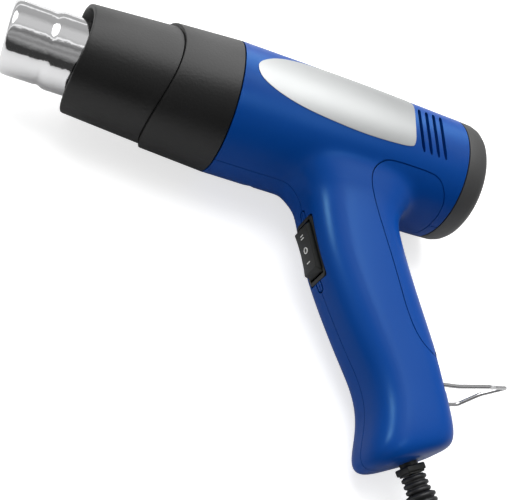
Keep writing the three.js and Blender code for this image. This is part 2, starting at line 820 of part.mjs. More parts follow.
function cordLead(start, direction) {
  const [endX, endY, endZ] = coilPoints()[0];
  const run = start.clone().addScaledVector(direction, 7.5);
  const points = [
    start.toArray(),
    run.toArray(),
    [start.x + 8, start.y - 20, 8.2],
    [start.x + 14.5, start.y - 36, 5],
    [start.x + 23, start.y - 54, 3.7],
    [endX - 5, endY + 34, 3.7],
    [endX - 0.6, endY + 18, endZ],
    [endX, endY + 7.8, endZ],
  ];
  return tube(points, CORD_R, 8, 16);
}

// Flat two pin plug at the end of the coil's tail
function plugPlaced(geometry) {
  const [x, y] = coilPoints().at(-1);
  return geometry.rotateZ(0.225).translate(x - 10, y + 70, 7.1);
}

function plugBody() {
  const outline = new THREE.Shape();
  outline.moveTo(-5, 0.3);
  outline.lineTo(5, 0.3);
  outline.lineTo(7.4, 12);
  outline.lineTo(14.5, 20);
  outline.lineTo(14.5, 34);
  outline.lineTo(12, 36);
  outline.lineTo(-12, 36);
  outline.lineTo(-14.5, 34);
  outline.lineTo(-14.5, 20);
  outline.lineTo(-7.4, 12);
  const made = new THREE.ExtrudeGeometry(outline, {
    depth: 11.4,
    bevelThickness: 1.2,
    bevelSize: 1.2,
    bevelOffset: -1.2,
    bevelSegments: 2,
  });
  return plugPlaced(made.translate(0, 0, -5.7));
}

function plugPin(side) {
  const pin = bar("y", (side * PLUG_PIN_SPACING) / 2, 45.8, 0, PLUG_PIN_R, 19, 12);
  return plugPlaced(pin);
}

// Finishes
function finish(color, roughness, metalness = 0) {
  return new THREE.MeshStandardMaterial({ color, roughness, metalness });
}

const bluePlastic = () => finish(0x1d4a9c, 0.38);
const charcoalPlastic = () => finish(0x3a3a3b, 0.62);
const blackPlastic = () => finish(0x2c2d2c, 0.45);
const blackRubber = () => finish(0x171718, 0.6);
const chrome = () => finish(0xd5d7d8, 0.12, 1);
const steel = () => finish(0xa7a9ab, 0.3, 1);
const copper = () => finish(0xb4693a, 0.35, 1);
const brass = () => finish(0xc29a4c, 0.3, 1);
const mica = () => finish(0xc9b98f, 0.7);
const silverFoil = () => finish(0xc9cbcd, 0.35, 0.6);
const boardGreen = () => finish(0x2f5d3a, 0.6);
const ivoryPlastic = () => finish(0xd9d4c4, 0.5);

function piece(name, geometry, material) {
  const mesh = new THREE.Mesh(geometry, material);
  mesh.name = name;
  return mesh;
}

function toolPieces() {
  const pieces = [
    piece("housing_left", housingHalf(1), bluePlastic()),
    piece("housing_right", housingHalf(-1), bluePlastic()),
    piece("grip_back", gripPiece(), bluePlastic()),
    piece("nameplate_left", sidePlate(1), silverFoil()),
    piece("nameplate_right", sidePlate(-1), silverFoil()),
    piece("guard_ring_front", frontRing(), charcoalPlastic()),
    piece("guard_ring_rear", rearRing(), charcoalPlastic()),
    piece("nozzle", nozzle(), chrome()),
    piece("rear_cap", rearCap(), charcoalPlastic()),
    piece("switch_body", switchBody(), blackPlastic()),
    piece("switch_rocker", rocker(), blackPlastic()),
    piece("motor_can", motorCan(), steel()),
    piece("motor_bracket", motorBracket(), ivoryPlastic()),
    piece("motor_bearing_front", motorBearing(MOTOR_X + 1), brass()),
    piece("motor_bearing_rear", motorBearing(MOTOR_X + MOTOR_LENGTH - 2.4), brass()),
    piece("motor_shaft", motorShaft(), steel()),
    piece("motor_armature", armature(), copper()),
    piece("fan", fan(), ivoryPlastic()),
    piece("heater_cross", heaterCross(), mica()),
    piece("heater_winding", heaterWinding(), steel()),
    piece("heater_sleeve", micaSleeve(), mica()),
    piece("heater_disc", heaterDisc(), mica()),
    piece("heater_base", heaterBase(), mica()),
    piece("thermal_cutout", thermalCutout(), steel()),
    piece("rectifier_board", rectifierBoard(), boardGreen()),
    piece("smoothing_capacitor", smoothingCapacitor(), blackPlastic()),
    piece("cord_gland", cordGland(), blackPlastic()),
    piece("cord_boot", cordBoot(), blackRubber()),
    piece("cord_inside", cordInside(), blackRubber()),
    piece("clamp_plate", clampPlate(), ivoryPlastic()),
    piece("stand_hinge", standHinge(), blackPlastic()),
    piece("wire_stand", wireStand(), steel()),
  ];
  [-8, 0, 8].forEach((offset, i) => {
    pieces.push(piece(`switch_terminal_${i + 1}`, switchTerminal(offset), brass()));
  });
  [-5, 5].forEach((x, i) => {
    pieces.push(piece(`clamp_screw_${i + 1}`, clampScrew(x), steel()));
  });
  SCREW_SPOTS.forEach((spot, i) => {
    pieces.push(piece(`housing_screw_${i + 1}`, screw(spot), steel()));
  });
  const leads = [
    ["lead_supply", 0x7a4a2a, [
      [141.9, -122.6, 1.2], [137, -116, 3], [132.6, -106, 4], [136, -93, 4],
      [140, -80, 3], [140.6, -69, 1], [139.2, -62.6, 0], [136.6, -61.3, 0], [134, -62, 0],
    ]],
    ["lead_heater", 0x234a9a, [
      [132.2, -54, 0], [135, -48, -3], [126, -39, -7], [112, -31, -9],
      [101, -23, -9], [93, -16, -9], [86, -13, -8], [81.2, -12.4, -8],
    ]],
    ["lead_motor", 0xa33028, [
      [130, -46.2, 0], [132.4, -41, 3], [123, -33, 5],
      [114, -24, 3], [110.5, -17.5, 0], [110.5, -14.4, 0],
    ]],
  ];
  leads.forEach(([name, color, points]) => pieces.push(piece(name, lead(points), finish(color, 0.5))));
  return pieces;
}

function cordPieces(tool) {
  const foot = glandPlaced(new THREE.BufferGeometry().setFromPoints([
    new THREE.Vector3(0, -3.8 - BOOT_LENGTH - GAP, 0),
    new THREE.Vector3(0, -4.8 - BOOT_LENGTH - GAP, 0),
  ]));
  foot.applyMatrix4(tool.matrix);
  const start = new THREE.Vector3().fromBufferAttribute(foot.attributes.position, 0);
  const next = new THREE.Vector3().fromBufferAttribute(foot.attributes.position, 1);
  return [
    piece("cord_lead", cordLead(start, next.sub(start)), blackRubber()),
    piece("cord_coil", cordCoil(), blackRubber()),
    piece("plug_body", plugBody(), blackRubber()),
    piece("plug_pin_1", plugPin(-1), brass()),
    piece("plug_pin_2", plugPin(1), brass()),
  ];
}

// The tool is rolled so that barrel and handle end both rest on the floor
const tool = new THREE.Group();
tool.add(...toolPieces());
tool.rotation.x = ROLL;
tool.position.z = skinAt((BARREL_X + CAP_X) / 2) + PLATE_LIFT + PLATE_SHEET;
tool.updateMatrix();

// The origin is the middle of the tool's own outline, without its cord
const assembly = new THREE.Group();
assembly.add(tool, ...cordPieces(tool));
const box = new THREE.Box3().setFromObject(tool, true);
const middle = box.getCenter(new THREE.Vector3());
assembly.position.set(-middle.x, -middle.y, -box.min.z);

const part = new THREE.Group();
part.add(assembly);

export default part;
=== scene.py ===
import json
import math

import bpy
from mathutils import Matrix, Vector


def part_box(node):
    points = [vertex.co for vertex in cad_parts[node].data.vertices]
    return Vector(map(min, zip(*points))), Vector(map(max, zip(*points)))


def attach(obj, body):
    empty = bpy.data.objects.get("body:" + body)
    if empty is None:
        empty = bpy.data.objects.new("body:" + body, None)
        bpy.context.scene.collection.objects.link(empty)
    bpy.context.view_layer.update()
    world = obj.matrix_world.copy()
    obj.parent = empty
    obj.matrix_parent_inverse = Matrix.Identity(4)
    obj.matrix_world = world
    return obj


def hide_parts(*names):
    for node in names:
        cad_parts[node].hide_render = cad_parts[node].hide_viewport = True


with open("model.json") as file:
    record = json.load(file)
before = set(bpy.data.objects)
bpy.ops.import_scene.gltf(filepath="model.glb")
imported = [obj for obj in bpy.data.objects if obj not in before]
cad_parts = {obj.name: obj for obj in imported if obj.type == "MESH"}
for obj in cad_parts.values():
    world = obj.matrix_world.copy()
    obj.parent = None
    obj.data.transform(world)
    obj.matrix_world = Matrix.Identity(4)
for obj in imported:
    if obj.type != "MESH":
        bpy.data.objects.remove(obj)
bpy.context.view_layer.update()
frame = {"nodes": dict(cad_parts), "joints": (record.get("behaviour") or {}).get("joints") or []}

# A hot air tool with a chrome outlet, dark guard collar and blue pistol grip, lying on its right side.
# Lengths are written in millimetres in the tool's own frame: x runs back from the collar's mouth,
# y is the tool's top and z its left side, which faces up.

MM = 0.001

# Barrel stack
NOZZLE_REACH = 29.8
FRONT_RING_START = -1.6
FRONT_RING_END = 33.4
REAR_RING_LENGTH = 28.7
BARREL_LENGTH = 109.7
CAP_LENGTH = 12.4
CAP_SEAM = 0.7
FRONT_RING_MOUTH_R = 23.1
FRONT_RING_END_R = 25.9
REAR_RING_START_R = 27.4
MOUTH_WAVE = 1.7
SEAM_WAVE = 3.2
BARREL_R = 29.5
BARREL_END_R = 29.0
BARREL_CROWN = 0.48
WALL = 2.3
GAP = 0.3
GRIP_GAP = 0.45
REAR_RING_X = FRONT_RING_END + GAP
BARREL_X = REAR_RING_X + REAR_RING_LENGTH
CAP_X = BARREL_X + BARREL_LENGTH

# Collar rings
RING_WALL = 2.1
RING_FLANGE_BORE_R = 21.5
RING_SPIGOT_REACH = 6

# Slots in the cap's end: a field of upright slots, parted by a bridge across the middle
CAP_SLOT_STEPS = 3
CAP_SLOT_PITCH = 6
CAP_SLOT_WIDTH = 3
CAP_SLOT_FIELD_R = 21.5
CAP_SLOT_BRIDGE = 1.8
CAP_END_SHEET = 2.2
CAP_HUB_R = 4.2

# Outlet tube
NOZZLE_R = 15.5
NOZZLE_NECK_R = 16.4
NOZZLE_SHEET = 0.9
NOZZLE_SHOULDER_X = -14.0
NOZZLE_TAIL_X = 78.0
NOZZLE_FLANGE_R = BARREL_R - WALL - 1

# Switch
SWITCH_X = 108.4
SWITCH_Y = -60.8
SWITCH_RAKE = 0.27
BEZEL_LENGTH = 28.5
BEZEL_WIDTH = 13.0
BEZEL_THICKNESS = 1.8
BEZEL_CORNER = 2.0
SWITCH_DEPTH = 17.0
ROCKER_LENGTH = 23.4
ROCKER_WIDTH = 10.0
ROCKER_PROUD = 3.6
MARK_LENGTH = 2.3
MARK_LINE = 0.45
MARK_BARS = (("mark_two_a", 6.9), ("mark_two_b", 5.6), ("mark_one", -5.6))
MARK_RING_R = 1.4
POCKET_LENGTH = 38.5
POCKET_WIDTH = 4.4
POCKET_LINE = 0.8

# Wire stand
STAND_WIRE_R = 0.85
STAND_PIVOT_X = 157.5
STAND_PIVOT_Y = -113.2
STAND_HALF_WIDTH = 11.0
STAND_SLOT_WIDTH = 3.6
STAND_SLOT = (STAND_PIVOT_X + 5, STAND_PIVOT_Y + 5)
STAND_SLOT_REACH = 16
STAND_BEND = 1.2

# One leg of the stand from its pivot out to the tip: back, up and half width
STAND_LEG = [
    (0, 0, 3),
    (0, 0, STAND_HALF_WIDTH - 0.3),
    (1, 0.1, STAND_HALF_WIDTH),
    (10.1, 1, STAND_HALF_WIDTH),
    (25.9, 4.3, STAND_HALF_WIDTH),
    (33.1, 8, 4.3),
    (43.5, 11.5, 0),
]

# Cord
CORD_R = 3.5
COIL_TURNS = 6.5
COIL_PITCH = 7.8
COIL_INNER_R = 25.7
COIL_STEPS = 24
COIL_CENTRE = (160.0, -300.0)
FLOOR_CLEARANCE = 0.1
BOOT_R = 6.2
BOOT_NECK_R = 4.9
BOOT_NECK_RIBS = 3
BOOT_LENGTH = 34.0
BOOT_RIBS = 15
GLAND_NUT = (8.5, 2.5, 8.5)
GLAND_STEP = (7.2, 0.8, 7.2)
GLAND_NECK_R = 3.6
GLAND_FOOT = 3.8
GLAND_PLACE = (150.4, -143.7)
GLAND_TURN = math.atan2(148.6 - 137.4, 162.8 - 135.2)

# Handle sections from inside the barrel down: front point, back point, half thickness
HANDLE_SECTIONS = [
    (80.0, -13.0, 163.0, -12.0, 21.5),
    (86.0, -20.0, 160.0, -19.0, 20.5),
    (96.0, -29.6, 154.0, -28.0, 18.8),
    (100.8, -34.4, 149.0, -34.0, 17.2),
    (103.0, -40.5, 146.6, -40.0, 16.4),
    (104.4, -49.0, 146.9, -46.0, 15.8),
    (107.9, -67.0, 151.1, -62.0, 15.2),
    (115.5, -86.0, 155.5, -78.0, 15.2),
    (123.8, -104.0, 159.6, -92.0, 15.2),
    (130.6, -116.5, 162.6, -105.0, 15.4),
    (132.3, -128.6, 164.6, -117.5, 15.8),
    (129.6, -140.6, 166.6, -128.2, 16.2),
    (129.2, -146.3, 166.4, -133.8, 15.2),
    (131.8, -149.0, 164.4, -136.4, 12.8),
    (137.5, -147.9, 160.4, -138.6, 8.6),
]
HANDLE_CORNER = 0.7

# Meshing of the housing's skin: grid size, smoothing passes over all of it and near the join
SKIN_GRAIN = 0.7
SKIN_PASSES = 5
JOIN_PASSES = 60
JOIN_DEPTH = 7
FINE_SIDES = 128

# Side outline of the separate back grip, clockwise from its lower tip
GRIP_OUTLINE = [
    (176.0, -104.5),
    (155.0, -103.5),
    (147.6, -97.5),
    (143.0, -86.0),
    (140.2, -74.0),
    (136.4, -59.8),
    (129.0, -37.6),
    (126.4, -29.0),
    (127.6, -23.2),
    (131.0, -19.8),
    (135.5, -18.6),
    (155.0, -18.4),
    (160.0, -19.4),
    (163.6, -21.8),
    (166.8, -25.0),
    (168.6, -29.5),
    (168.6, -40.0),
    (176.0, -40.0),
]

# Screws in the side view: back, up, and half the housing's thickness there
SCREW_SPOTS = [
    (85.0, -22.4, 15.5),
    (98.0, 20.0, 18.6),
    (131.0, -76.0, 14.4),
    (140.0, -109.4, 14.4),
    (158.5, -128.0, 13.2),
]
SCREW_HEAD_R = 2.7
SCREW_HEAD_HEIGHT = 1.6
SCREW_SHANK_R = 1.4
SCREW_RECESS = 2.4
SCREW_DRIVER = (3.2, 0.7, 1.2)

# Side outline of the nameplate
PLATE_OUTLINE = [
    (67.6, 0.8), (68.6, -3.2), (72.1, -6.3), (80.1, -9.5), (90.4, -11.6), (102.6, -12.7),
    (115.0, -13.4), (128.0, -13.3), (142.4, -12.3), (144.2, -10.4), (143.3, -2.0), (143.5, 4.0),
    (144.9, 12.5), (145.2, 16.0), (143.4, 18.2), (128.0, 18.6), (114.0, 18.4), (101.0, 17.4),
    (90.0, 15.4), (81.5, 12.6), (75.3, 9.4), (70.4, 5.4), (68.4, 3.0),
]
PLATE_SHEET = 0.13
PLATE_LIFT = 0.05

SLOT_COUNT = 4
SLOT_FRONT_X = 146.3
SLOT_PITCH = 3.8
SLOT_WIDTH = 1.7
SLOT_LENGTH = 23.6
SLOT_MIDDLE_Y = -0.5
SLOT_BOW = 2.0
SLOT_LEAN = 0.8

# Camera: its place in the tool's frame and its turn in the shared frame
CAMERA_PLACE = (-18.2, -239.1, 251.3)
CAMERA_TURN = (37.18, -23.86, 0.74)
CAMERA_LENS = 56.81

# Where the tool lies in the shared frame
outlet_low, outlet_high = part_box("nozzle")
fold_axis = next(j["axis"] for j in frame["joints"] if j["name"] == "stand_fold")
outlet_middle = (outlet_low + outlet_high) / 2
TOOL_ORIGIN = Vector((outlet_low.x + NOZZLE_REACH * MM, outlet_middle.y, outlet_middle.z))
TOOL_ROLL = math.atan2(-fold_axis[1], fold_axis[2])
TOOL_FRAME = Matrix.Translation(TOOL_ORIGIN) @ Matrix.Rotation(TOOL_ROLL, 4, "X")


def tool_point(x, y, z):
    """A place given in the tool's own frame, in the shared frame."""
    return TOOL_FRAME @ (Vector((x, y, z)) * MM)


def floor_point(x, y, z):
    """A place below or beside the tool's own origin, with its height counted from the floor."""
    return Vector((x * MM + TOOL_ORIGIN.x, y * MM + TOOL_ORIGIN.y, z * MM))


# Modelling steps


def pick(obj):
    bpy.ops.object.select_all(action="DESELECT")
    obj.select_set(True)
    bpy.context.view_layer.objects.active = obj


def named(name):
    obj = bpy.context.active_object
    obj.name = name
    obj.data.name = name
    return obj


def start_edit(obj, mode="VERT"):
    pick(obj)
    bpy.ops.object.mode_set(mode="EDIT")
    bpy.ops.mesh.select_mode(type=mode)
    bpy.ops.mesh.select_all(action="DESELECT")


def end_edit():
    bpy.ops.object.mode_set(mode="OBJECT")


def choose(obj, kind, test):
    """Selects the vertices, edges or faces whose middle passes the test, in edit mode."""
    bpy.ops.mesh.select_all(action="DESELECT")
    bpy.ops.object.mode_set(mode="OBJECT")
    mesh = obj.data
    points = [v.co for v in mesh.vertices]
    groups = {"VERT": mesh.vertices, "EDGE": mesh.edges, "FACE": mesh.polygons}
    for item in groups[kind]:
        if kind == "VERT":
            middle = item.co
        else:
            corners = [points[i] for i in item.vertices]
            middle = sum(corners, Vector()) / len(corners)
        item.select = bool(test(middle / MM, item))
    bpy.ops.object.mode_set(mode="EDIT")


def face_out(obj):
    start_edit(obj)
    bpy.ops.mesh.select_all(action="SELECT")
    bpy.ops.mesh.remove_doubles(threshold=1e-6)
    bpy.ops.mesh.normals_make_consistent(inside=False)
    end_edit()


def use_modifier(obj, kind, **settings):
    pick(obj)
    bpy.ops.object.modifier_add(type=kind)
    modifier = obj.modifiers[-1]
    for key, value in settings.items():
        setattr(modifier, key, value)
    bpy.ops.object.modifier_apply(modifier=modifier.name)


def carve(obj, tool, operation="DIFFERENCE"):
    """Cuts a body by another, or joins it, and throws the other away."""
    use_modifier(obj, "BOOLEAN", operation=operation, object=tool, solver="MANIFOLD")
    bpy.data.objects.remove(tool)


def soften(obj, width, segments=2, angle=40):
    use_modifier(obj, "BEVEL", width=width * MM, segments=segments, limit_method="ANGLE",
                 angle_limit=math.radians(angle), use_clamp_overlap=True)


def smooth(obj, angle=35):
    pick(obj)
    bpy.ops.object.shade_smooth_by_angle(angle=math.radians(angle))


def copied(obj, name):
    pick(obj)
    bpy.ops.object.duplicate()
    return named(name)


def lie_down(obj):
    """Brings a piece from the tool's own frame to where the tool lies."""
    pick(obj)
    obj.matrix_world = TOOL_FRAME @ obj.matrix_world
    bpy.ops.object.transform_apply(location=True, rotation=True, scale=True)
    return obj


def place(obj, x, y, turn):
    """Turns a piece about the tool's z axis and sets it at a place in the side view."""
    pick(obj)
    spot = Matrix.Translation((x * MM, y * MM, 0)) @ Matrix.Rotation(turn, 4, "Z")
    obj.matrix_world = spot @ obj.matrix_world
    bpy.ops.object.transform_apply(location=True, rotation=True, scale=True)
    return obj


def block(name, centre, size, rounding=0.0, segments=3):
    """A box with its edges rounded."""
    bpy.ops.mesh.primitive_cube_add(size=1, location=[c * MM for c in centre])
    obj = named(name)
    obj.scale = [s * MM for s in size]
    bpy.ops.object.transform_apply(location=True, rotation=True, scale=True)
    if rounding:
        soften(obj, rounding, segments)
    return obj


def slab(name, centre, size, corner):
    """A box whose four edges along x are rounded."""
    obj = block(name, centre, size)
    start_edit(obj, "EDGE")
    choose(obj, "EDGE", lambda p, edge: abs(p.x - centre[0]) < 0.01)
    bpy.ops.mesh.bevel(offset=corner * MM, segments=5)
    end_edit()
    return obj


def rod(name, axis, centre, radius, length, sides=32):
    turns = {"x": (0, math.pi / 2, 0), "y": (math.pi / 2, 0, 0), "z": (0, 0, 0)}
    bpy.ops.mesh.primitive_cylinder_add(
        vertices=sides, radius=radius * MM, depth=length * MM,
        location=[c * MM for c in centre], rotation=turns[axis])
    obj = named(name)
    bpy.ops.object.transform_apply(location=True, rotation=True, scale=True)
    return obj


def turned(name, profile, sides=96):
    """A body turned about the barrel axis: a circle is extruded from point to point of (x, radius)."""
    solid = profile[0][1] == 0
    points = [p for p in profile if p[1] > 0]
    if not solid:
        points.append(points[0])
    x, radius = points[0]
    bpy.ops.mesh.primitive_circle_add(
        vertices=sides, radius=radius * MM, fill_type="NGON" if solid else "NOTHING",
        location=(x * MM, 0, 0), rotation=(0, math.pi / 2, 0))
    obj = named(name)
    bpy.ops.object.transform_apply(location=True, rotation=True, scale=True)
    bpy.ops.object.mode_set(mode="EDIT")
    bpy.ops.mesh.select_all(action="SELECT")
    for next_x, next_radius in points[1:]:
        bpy.ops.mesh.extrude_region_move(TRANSFORM_OT_translate={"value": ((next_x - x) * MM, 0, 0)})
        share = next_radius / radius
        bpy.ops.transform.resize(value=(1, share, share), center_override=(0, 0, 0))
        x, radius = next_x, next_radius
    end_edit()
    face_out(obj)
    return obj


def corner_cut(outline):
    """An outline with its corners cut twice, which rounds it."""
    for _ in range(2):
        cut = []
        for i, (x, y) in enumerate(outline):
            next_x, next_y = outline[(i + 1) % len(outline)]
            cut.append((x + (next_x - x) * 0.25, y + (next_y - y) * 0.25))
            cut.append((x + (next_x - x) * 0.75, y + (next_y - y) * 0.75))
        outline = cut
    return outline


def side_plate(name, outline, from_z, to_z):
    """A flat face drawn in the side view, extruded across the tool."""
    bpy.ops.mesh.primitive_circle_add(vertices=len(outline), radius=MM, fill_type="NGON")
    obj = named(name)
    for vertex, (x, y) in zip(obj.data.vertices, outline):
        vertex.co = Vector((x, y, from_z)) * MM
    start_edit(obj)
    bpy.ops.mesh.select_all(action="SELECT")
    bpy.ops.mesh.extrude_region_move(TRANSFORM_OT_translate={"value": (0, 0, (to_z - from_z) * MM)})
    end_edit()
    face_out(obj)
    return obj


# Finishes


def new_group(name, inputs, outputs):
    group = bpy.data.node_groups.new(name, "ShaderNodeTree")
    for label, kind, value in inputs:
        made = group.interface.new_socket(name=label, in_out="INPUT", socket_type=kind)
        if value is not None:
            made.default_value = value
    for label, kind in outputs:
        group.interface.new_socket(name=label, in_out="OUTPUT", socket_type=kind)
    first = group.nodes.new("NodeGroupInput")
    last = group.nodes.new("NodeGroupOutput")
    return group, first, last


def add(tree, kind, **settings):
    node = tree.nodes.new(kind)
    for key, value in settings.items():
        setattr(node, key, value)
    return node


def mould_grain_group():
    """Fine moulded grain: a height for the bump and a slow cloud for the sheen."""
    group, first, last = new_group(
        "mould_grain",
        [("Vector", "NodeSocketVector", None), ("Grain Scale", "NodeSocketFloat", 900.0),
         ("Cloud Scale", "NodeSocketFloat", 28.0)],
        [("Height", "NodeSocketFloat"), ("Cloud", "NodeSocketFloat")])
    fine = add(group, "ShaderNodeTexNoise")
    fine.inputs["Detail"].default_value = 3.0
    cloud = add(group, "ShaderNodeTexNoise")
    cloud.inputs["Detail"].default_value = 2.0
    group.links.new(first.outputs["Vector"], fine.inputs["Vector"])
    group.links.new(first.outputs["Vector"], cloud.inputs["Vector"])
    group.links.new(first.outputs["Grain Scale"], fine.inputs["Scale"])
    group.links.new(first.outputs["Cloud Scale"], cloud.inputs["Scale"])
    group.links.new(fine.outputs["Fac"], last.inputs["Height"])
    group.links.new(cloud.outputs["Fac"], last.inputs["Cloud"])
    return group


GRAIN = mould_grain_group()


def finish(name, light, dark, rough=(0.4, 0.5), metallic=0.0, grain=900.0, bump=0.02, gloss=0.5):
    """A finish whose colour and sheen wander a little between two values, over a fine grain."""
    material = bpy.data.materials.new(name)
    material.use_nodes = True
    tree = material.node_tree
    shader = tree.nodes["Principled BSDF"]
    shader.inputs["Metallic"].default_value = metallic
    shader.inputs["Specular IOR Level"].default_value = gloss
    place_on = add(tree, "ShaderNodeTexCoord")
    texture = add(tree, "ShaderNodeGroup", node_tree=GRAIN)
    texture.inputs["Grain Scale"].default_value = grain
    tint = add(tree, "ShaderNodeMix", data_type="RGBA")
    tint.inputs[6].default_value = (*dark, 1)
    tint.inputs[7].default_value = (*light, 1)
    sheen = add(tree, "ShaderNodeMapRange")
    sheen.inputs["From Min"].default_value = 0.3
    sheen.inputs["From Max"].default_value = 0.7
    sheen.inputs["To Min"].default_value = rough[0]
    sheen.inputs["To Max"].default_value = rough[1]
    relief = add(tree, "ShaderNodeBump")
    relief.inputs["Strength"].default_value = bump
    relief.inputs["Distance"].default_value = 0.0004
    tree.links.new(place_on.outputs["Object"], texture.inputs["Vector"])
    tree.links.new(texture.outputs["Cloud"], tint.inputs["Factor"])
    tree.links.new(tint.outputs[2], shader.inputs["Base Color"])
    tree.links.new(texture.outputs["Cloud"], sheen.inputs["Value"])
    tree.links.new(sheen.outputs["Result"], shader.inputs["Roughness"])
    tree.links.new(texture.outputs["Height"], relief.inputs["Height"])
    tree.links.new(relief.outputs["Normal"], shader.inputs["Normal"])
    return material


BLUE = finish(
    "blue_moulding", (0.001, 0.059, 0.308), (0.001, 0.053, 0.285), (0.28, 0.36), bump=0.05, gloss=0.1)
CHARCOAL = finish(
    "charcoal_moulding", (0.007, 0.007, 0.007), (0.005, 0.005, 0.005), (0.38, 0.46), bump=0.15, gloss=0.42)
CAP_GREY = finish(
    "cap_moulding", (0.058, 0.058, 0.058), (0.048, 0.048, 0.048), (0.45, 0.55), bump=0.15)
BLACK = finish(
    "black_moulding", (0.010, 0.011, 0.010), (0.008, 0.009, 0.008), (0.35, 0.45), bump=0.05, gloss=0.4)
RUBBER = finish("cord_rubber", (0.014, 0.014, 0.015), (0.010, 0.010, 0.011), (0.35, 0.5), bump=0.08)
CHROME = finish(
    "polished_chrome", (0.90, 0.90, 0.91), (0.87, 0.87, 0.88), (0.06, 0.10), 1.0, grain=220.0, bump=0.3)
STEEL = finish("plain_steel", (0.50, 0.50, 0.51), (0.42, 0.42, 0.43), (0.22, 0.34), 1.0, bump=0.05)
DULL_STEEL = finish("dull_steel", (0.11, 0.11, 0.11), (0.08, 0.08, 0.08), (0.4, 0.5), 0.8, bump=0.05)
FOIL = finish("silver_foil", (0.49, 0.50, 0.50), (0.46, 0.47, 0.47), (0.42, 0.50), 0.7, bump=0.02)
COPPER = finish("copper_wire", (0.62, 0.27, 0.14), (0.50, 0.20, 0.10), (0.3, 0.4), 1.0)
BRASS = finish("brass_strip", (0.66, 0.47, 0.20), (0.56, 0.40, 0.17), (0.25, 0.35), 1.0)
MICA = finish("pressed_mica", (0.60, 0.53, 0.38), (0.46, 0.40, 0.27), (0.5, 0.7), grain=400.0, bump=0.3)
BOARD = finish("green_board", (0.05, 0.17, 0.08), (0.04, 0.14, 0.06), (0.4, 0.5))
IVORY = finish("ivory_moulding", (0.70, 0.67, 0.58), (0.64, 0.61, 0.52), (0.45, 0.55))
BROWN = finish("brown_insulation", (0.18, 0.08, 0.03), (0.14, 0.06, 0.02), (0.4, 0.5))
LEAD_BLUE = finish("blue_insulation", (0.03, 0.09, 0.32), (0.02, 0.07, 0.26), (0.4, 0.5))
LEAD_RED = finish("red_insulation", (0.36, 0.04, 0.03), (0.28, 0.03, 0.02), (0.4, 0.5))
WIRE = finish("bright_wire", (0.62, 0.62, 0.63), (0.55, 0.55, 0.56), (0.12, 0.2), 1.0, bump=0.02)
WHITE_INK = finish("white_ink", (0.78, 0.78, 0.76), (0.72, 0.72, 0.70), (0.5, 0.6))


def wear(obj, material):
    obj.data.materials.clear()
    obj.data.materials.append(material)


def fit(obj, body, material, slot_name, *nodes):
    """Lays a finished piece down with the tool and lets it ride on its body in place of its CAD nodes."""
    lie_down(obj)
    wear(obj, material)
    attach(obj, body)
    if nodes:
        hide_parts(*nodes)
    return obj


# Camera and light

LAMP_AIM = Vector((0.02, 0.0, 0.03))
STREAK_PLACE = (-0.62, 0.33, 0.72)
SHEEN_TINT = (0.35, 0.78, 1.0)
FLOOR_GREY = (0.7, 0.7, 0.7, 1)
FLOOR_GLOW = 0.66
WHITE = (1, 1, 1, 1)


def make_camera():
    data = bpy.data.cameras.new("camera")
    data.lens = CAMERA_LENS
    data.sensor_width = 36
    data.clip_start = 0.01
    camera = bpy.data.objects.new("camera", data)
    camera.location = tool_point(*CAMERA_PLACE)
    camera.rotation_euler = [math.radians(a) for a in CAMERA_TURN]
    bpy.context.scene.collection.objects.link(camera)
    bpy.context.scene.camera = camera


def make_lamp(name, place_at, size, power, in_diffuse=True, in_reflections=True, tint=(1, 1, 1)):
    """A round lamp aimed at the tool, which may be left out of diffuse light or of reflections."""
    data = bpy.data.lights.new(name, "AREA")
    data.shape = "DISK"
    data.size = size
    data.energy = power
    data.color = tint
    lamp = bpy.data.objects.new(name, data)
    lamp.location = place_at
    lamp.rotation_euler = (LAMP_AIM - Vector(place_at)).to_track_quat("-Z", "Y").to_euler()
    lamp.visible_diffuse = in_diffuse
    lamp.visible_glossy = in_reflections
    bpy.context.scene.collection.objects.link(lamp)
    return lamp


def link_light(lamp, pieces, state):
    """Lets a lamp light only these pieces, or all but these."""
    chosen = bpy.data.collections.new(f"{lamp.name}_pieces")
    lamp.light_linking.receiver_collection = chosen
    for obj in pieces:
        chosen.objects.link(obj)
    for entry in chosen.collection_objects:
        entry.light_linking.link_state = state


def make_floor():
    """A pale floor that glows for the camera alone, so it keeps its shadow and stays near white."""
    bpy.ops.mesh.primitive_plane_add(size=6, location=(0, 0, -0.0002))
    floor = named("floor")
    material = bpy.data.materials.new("pale_floor")
    material.use_nodes = True
    tree = material.node_tree
    shader = tree.nodes["Principled BSDF"]
    shader.inputs["Base Color"].default_value = FLOOR_GREY
    shader.inputs["Roughness"].default_value = 0.9
    shader.inputs["Emission Color"].default_value = WHITE
    path = add(tree, "ShaderNodeLightPath")
    glow = add(tree, "ShaderNodeMath", operation="MULTIPLY")
    glow.inputs[1].default_value = FLOOR_GLOW
    tree.links.new(path.outputs["Is Camera Ray"], glow.inputs[0])
    tree.links.new(glow.outputs[0], shader.inputs["Emission Strength"])
    floor.data.materials.append(material)


# The world's grey levels from behind the tool (0), up and over it, to in front of it (1)
SKY = [
    (0.0, 0.45), (0.095, 0.42), (0.108, 1.0), (0.13, 1.0), (0.15, 0.42), (0.30, 0.40), (0.38, 0.62),
    (0.50, 0.62), (0.545, 0.50), (0.553, 1.0), (0.572, 1.0), (0.59, 0.28), (0.64, 0.17), (0.69, 0.36),
    (0.74, 0.23), (0.78, 0.33), (0.82, 0.21), (0.88, 0.04), (1.0, 0.04),
]


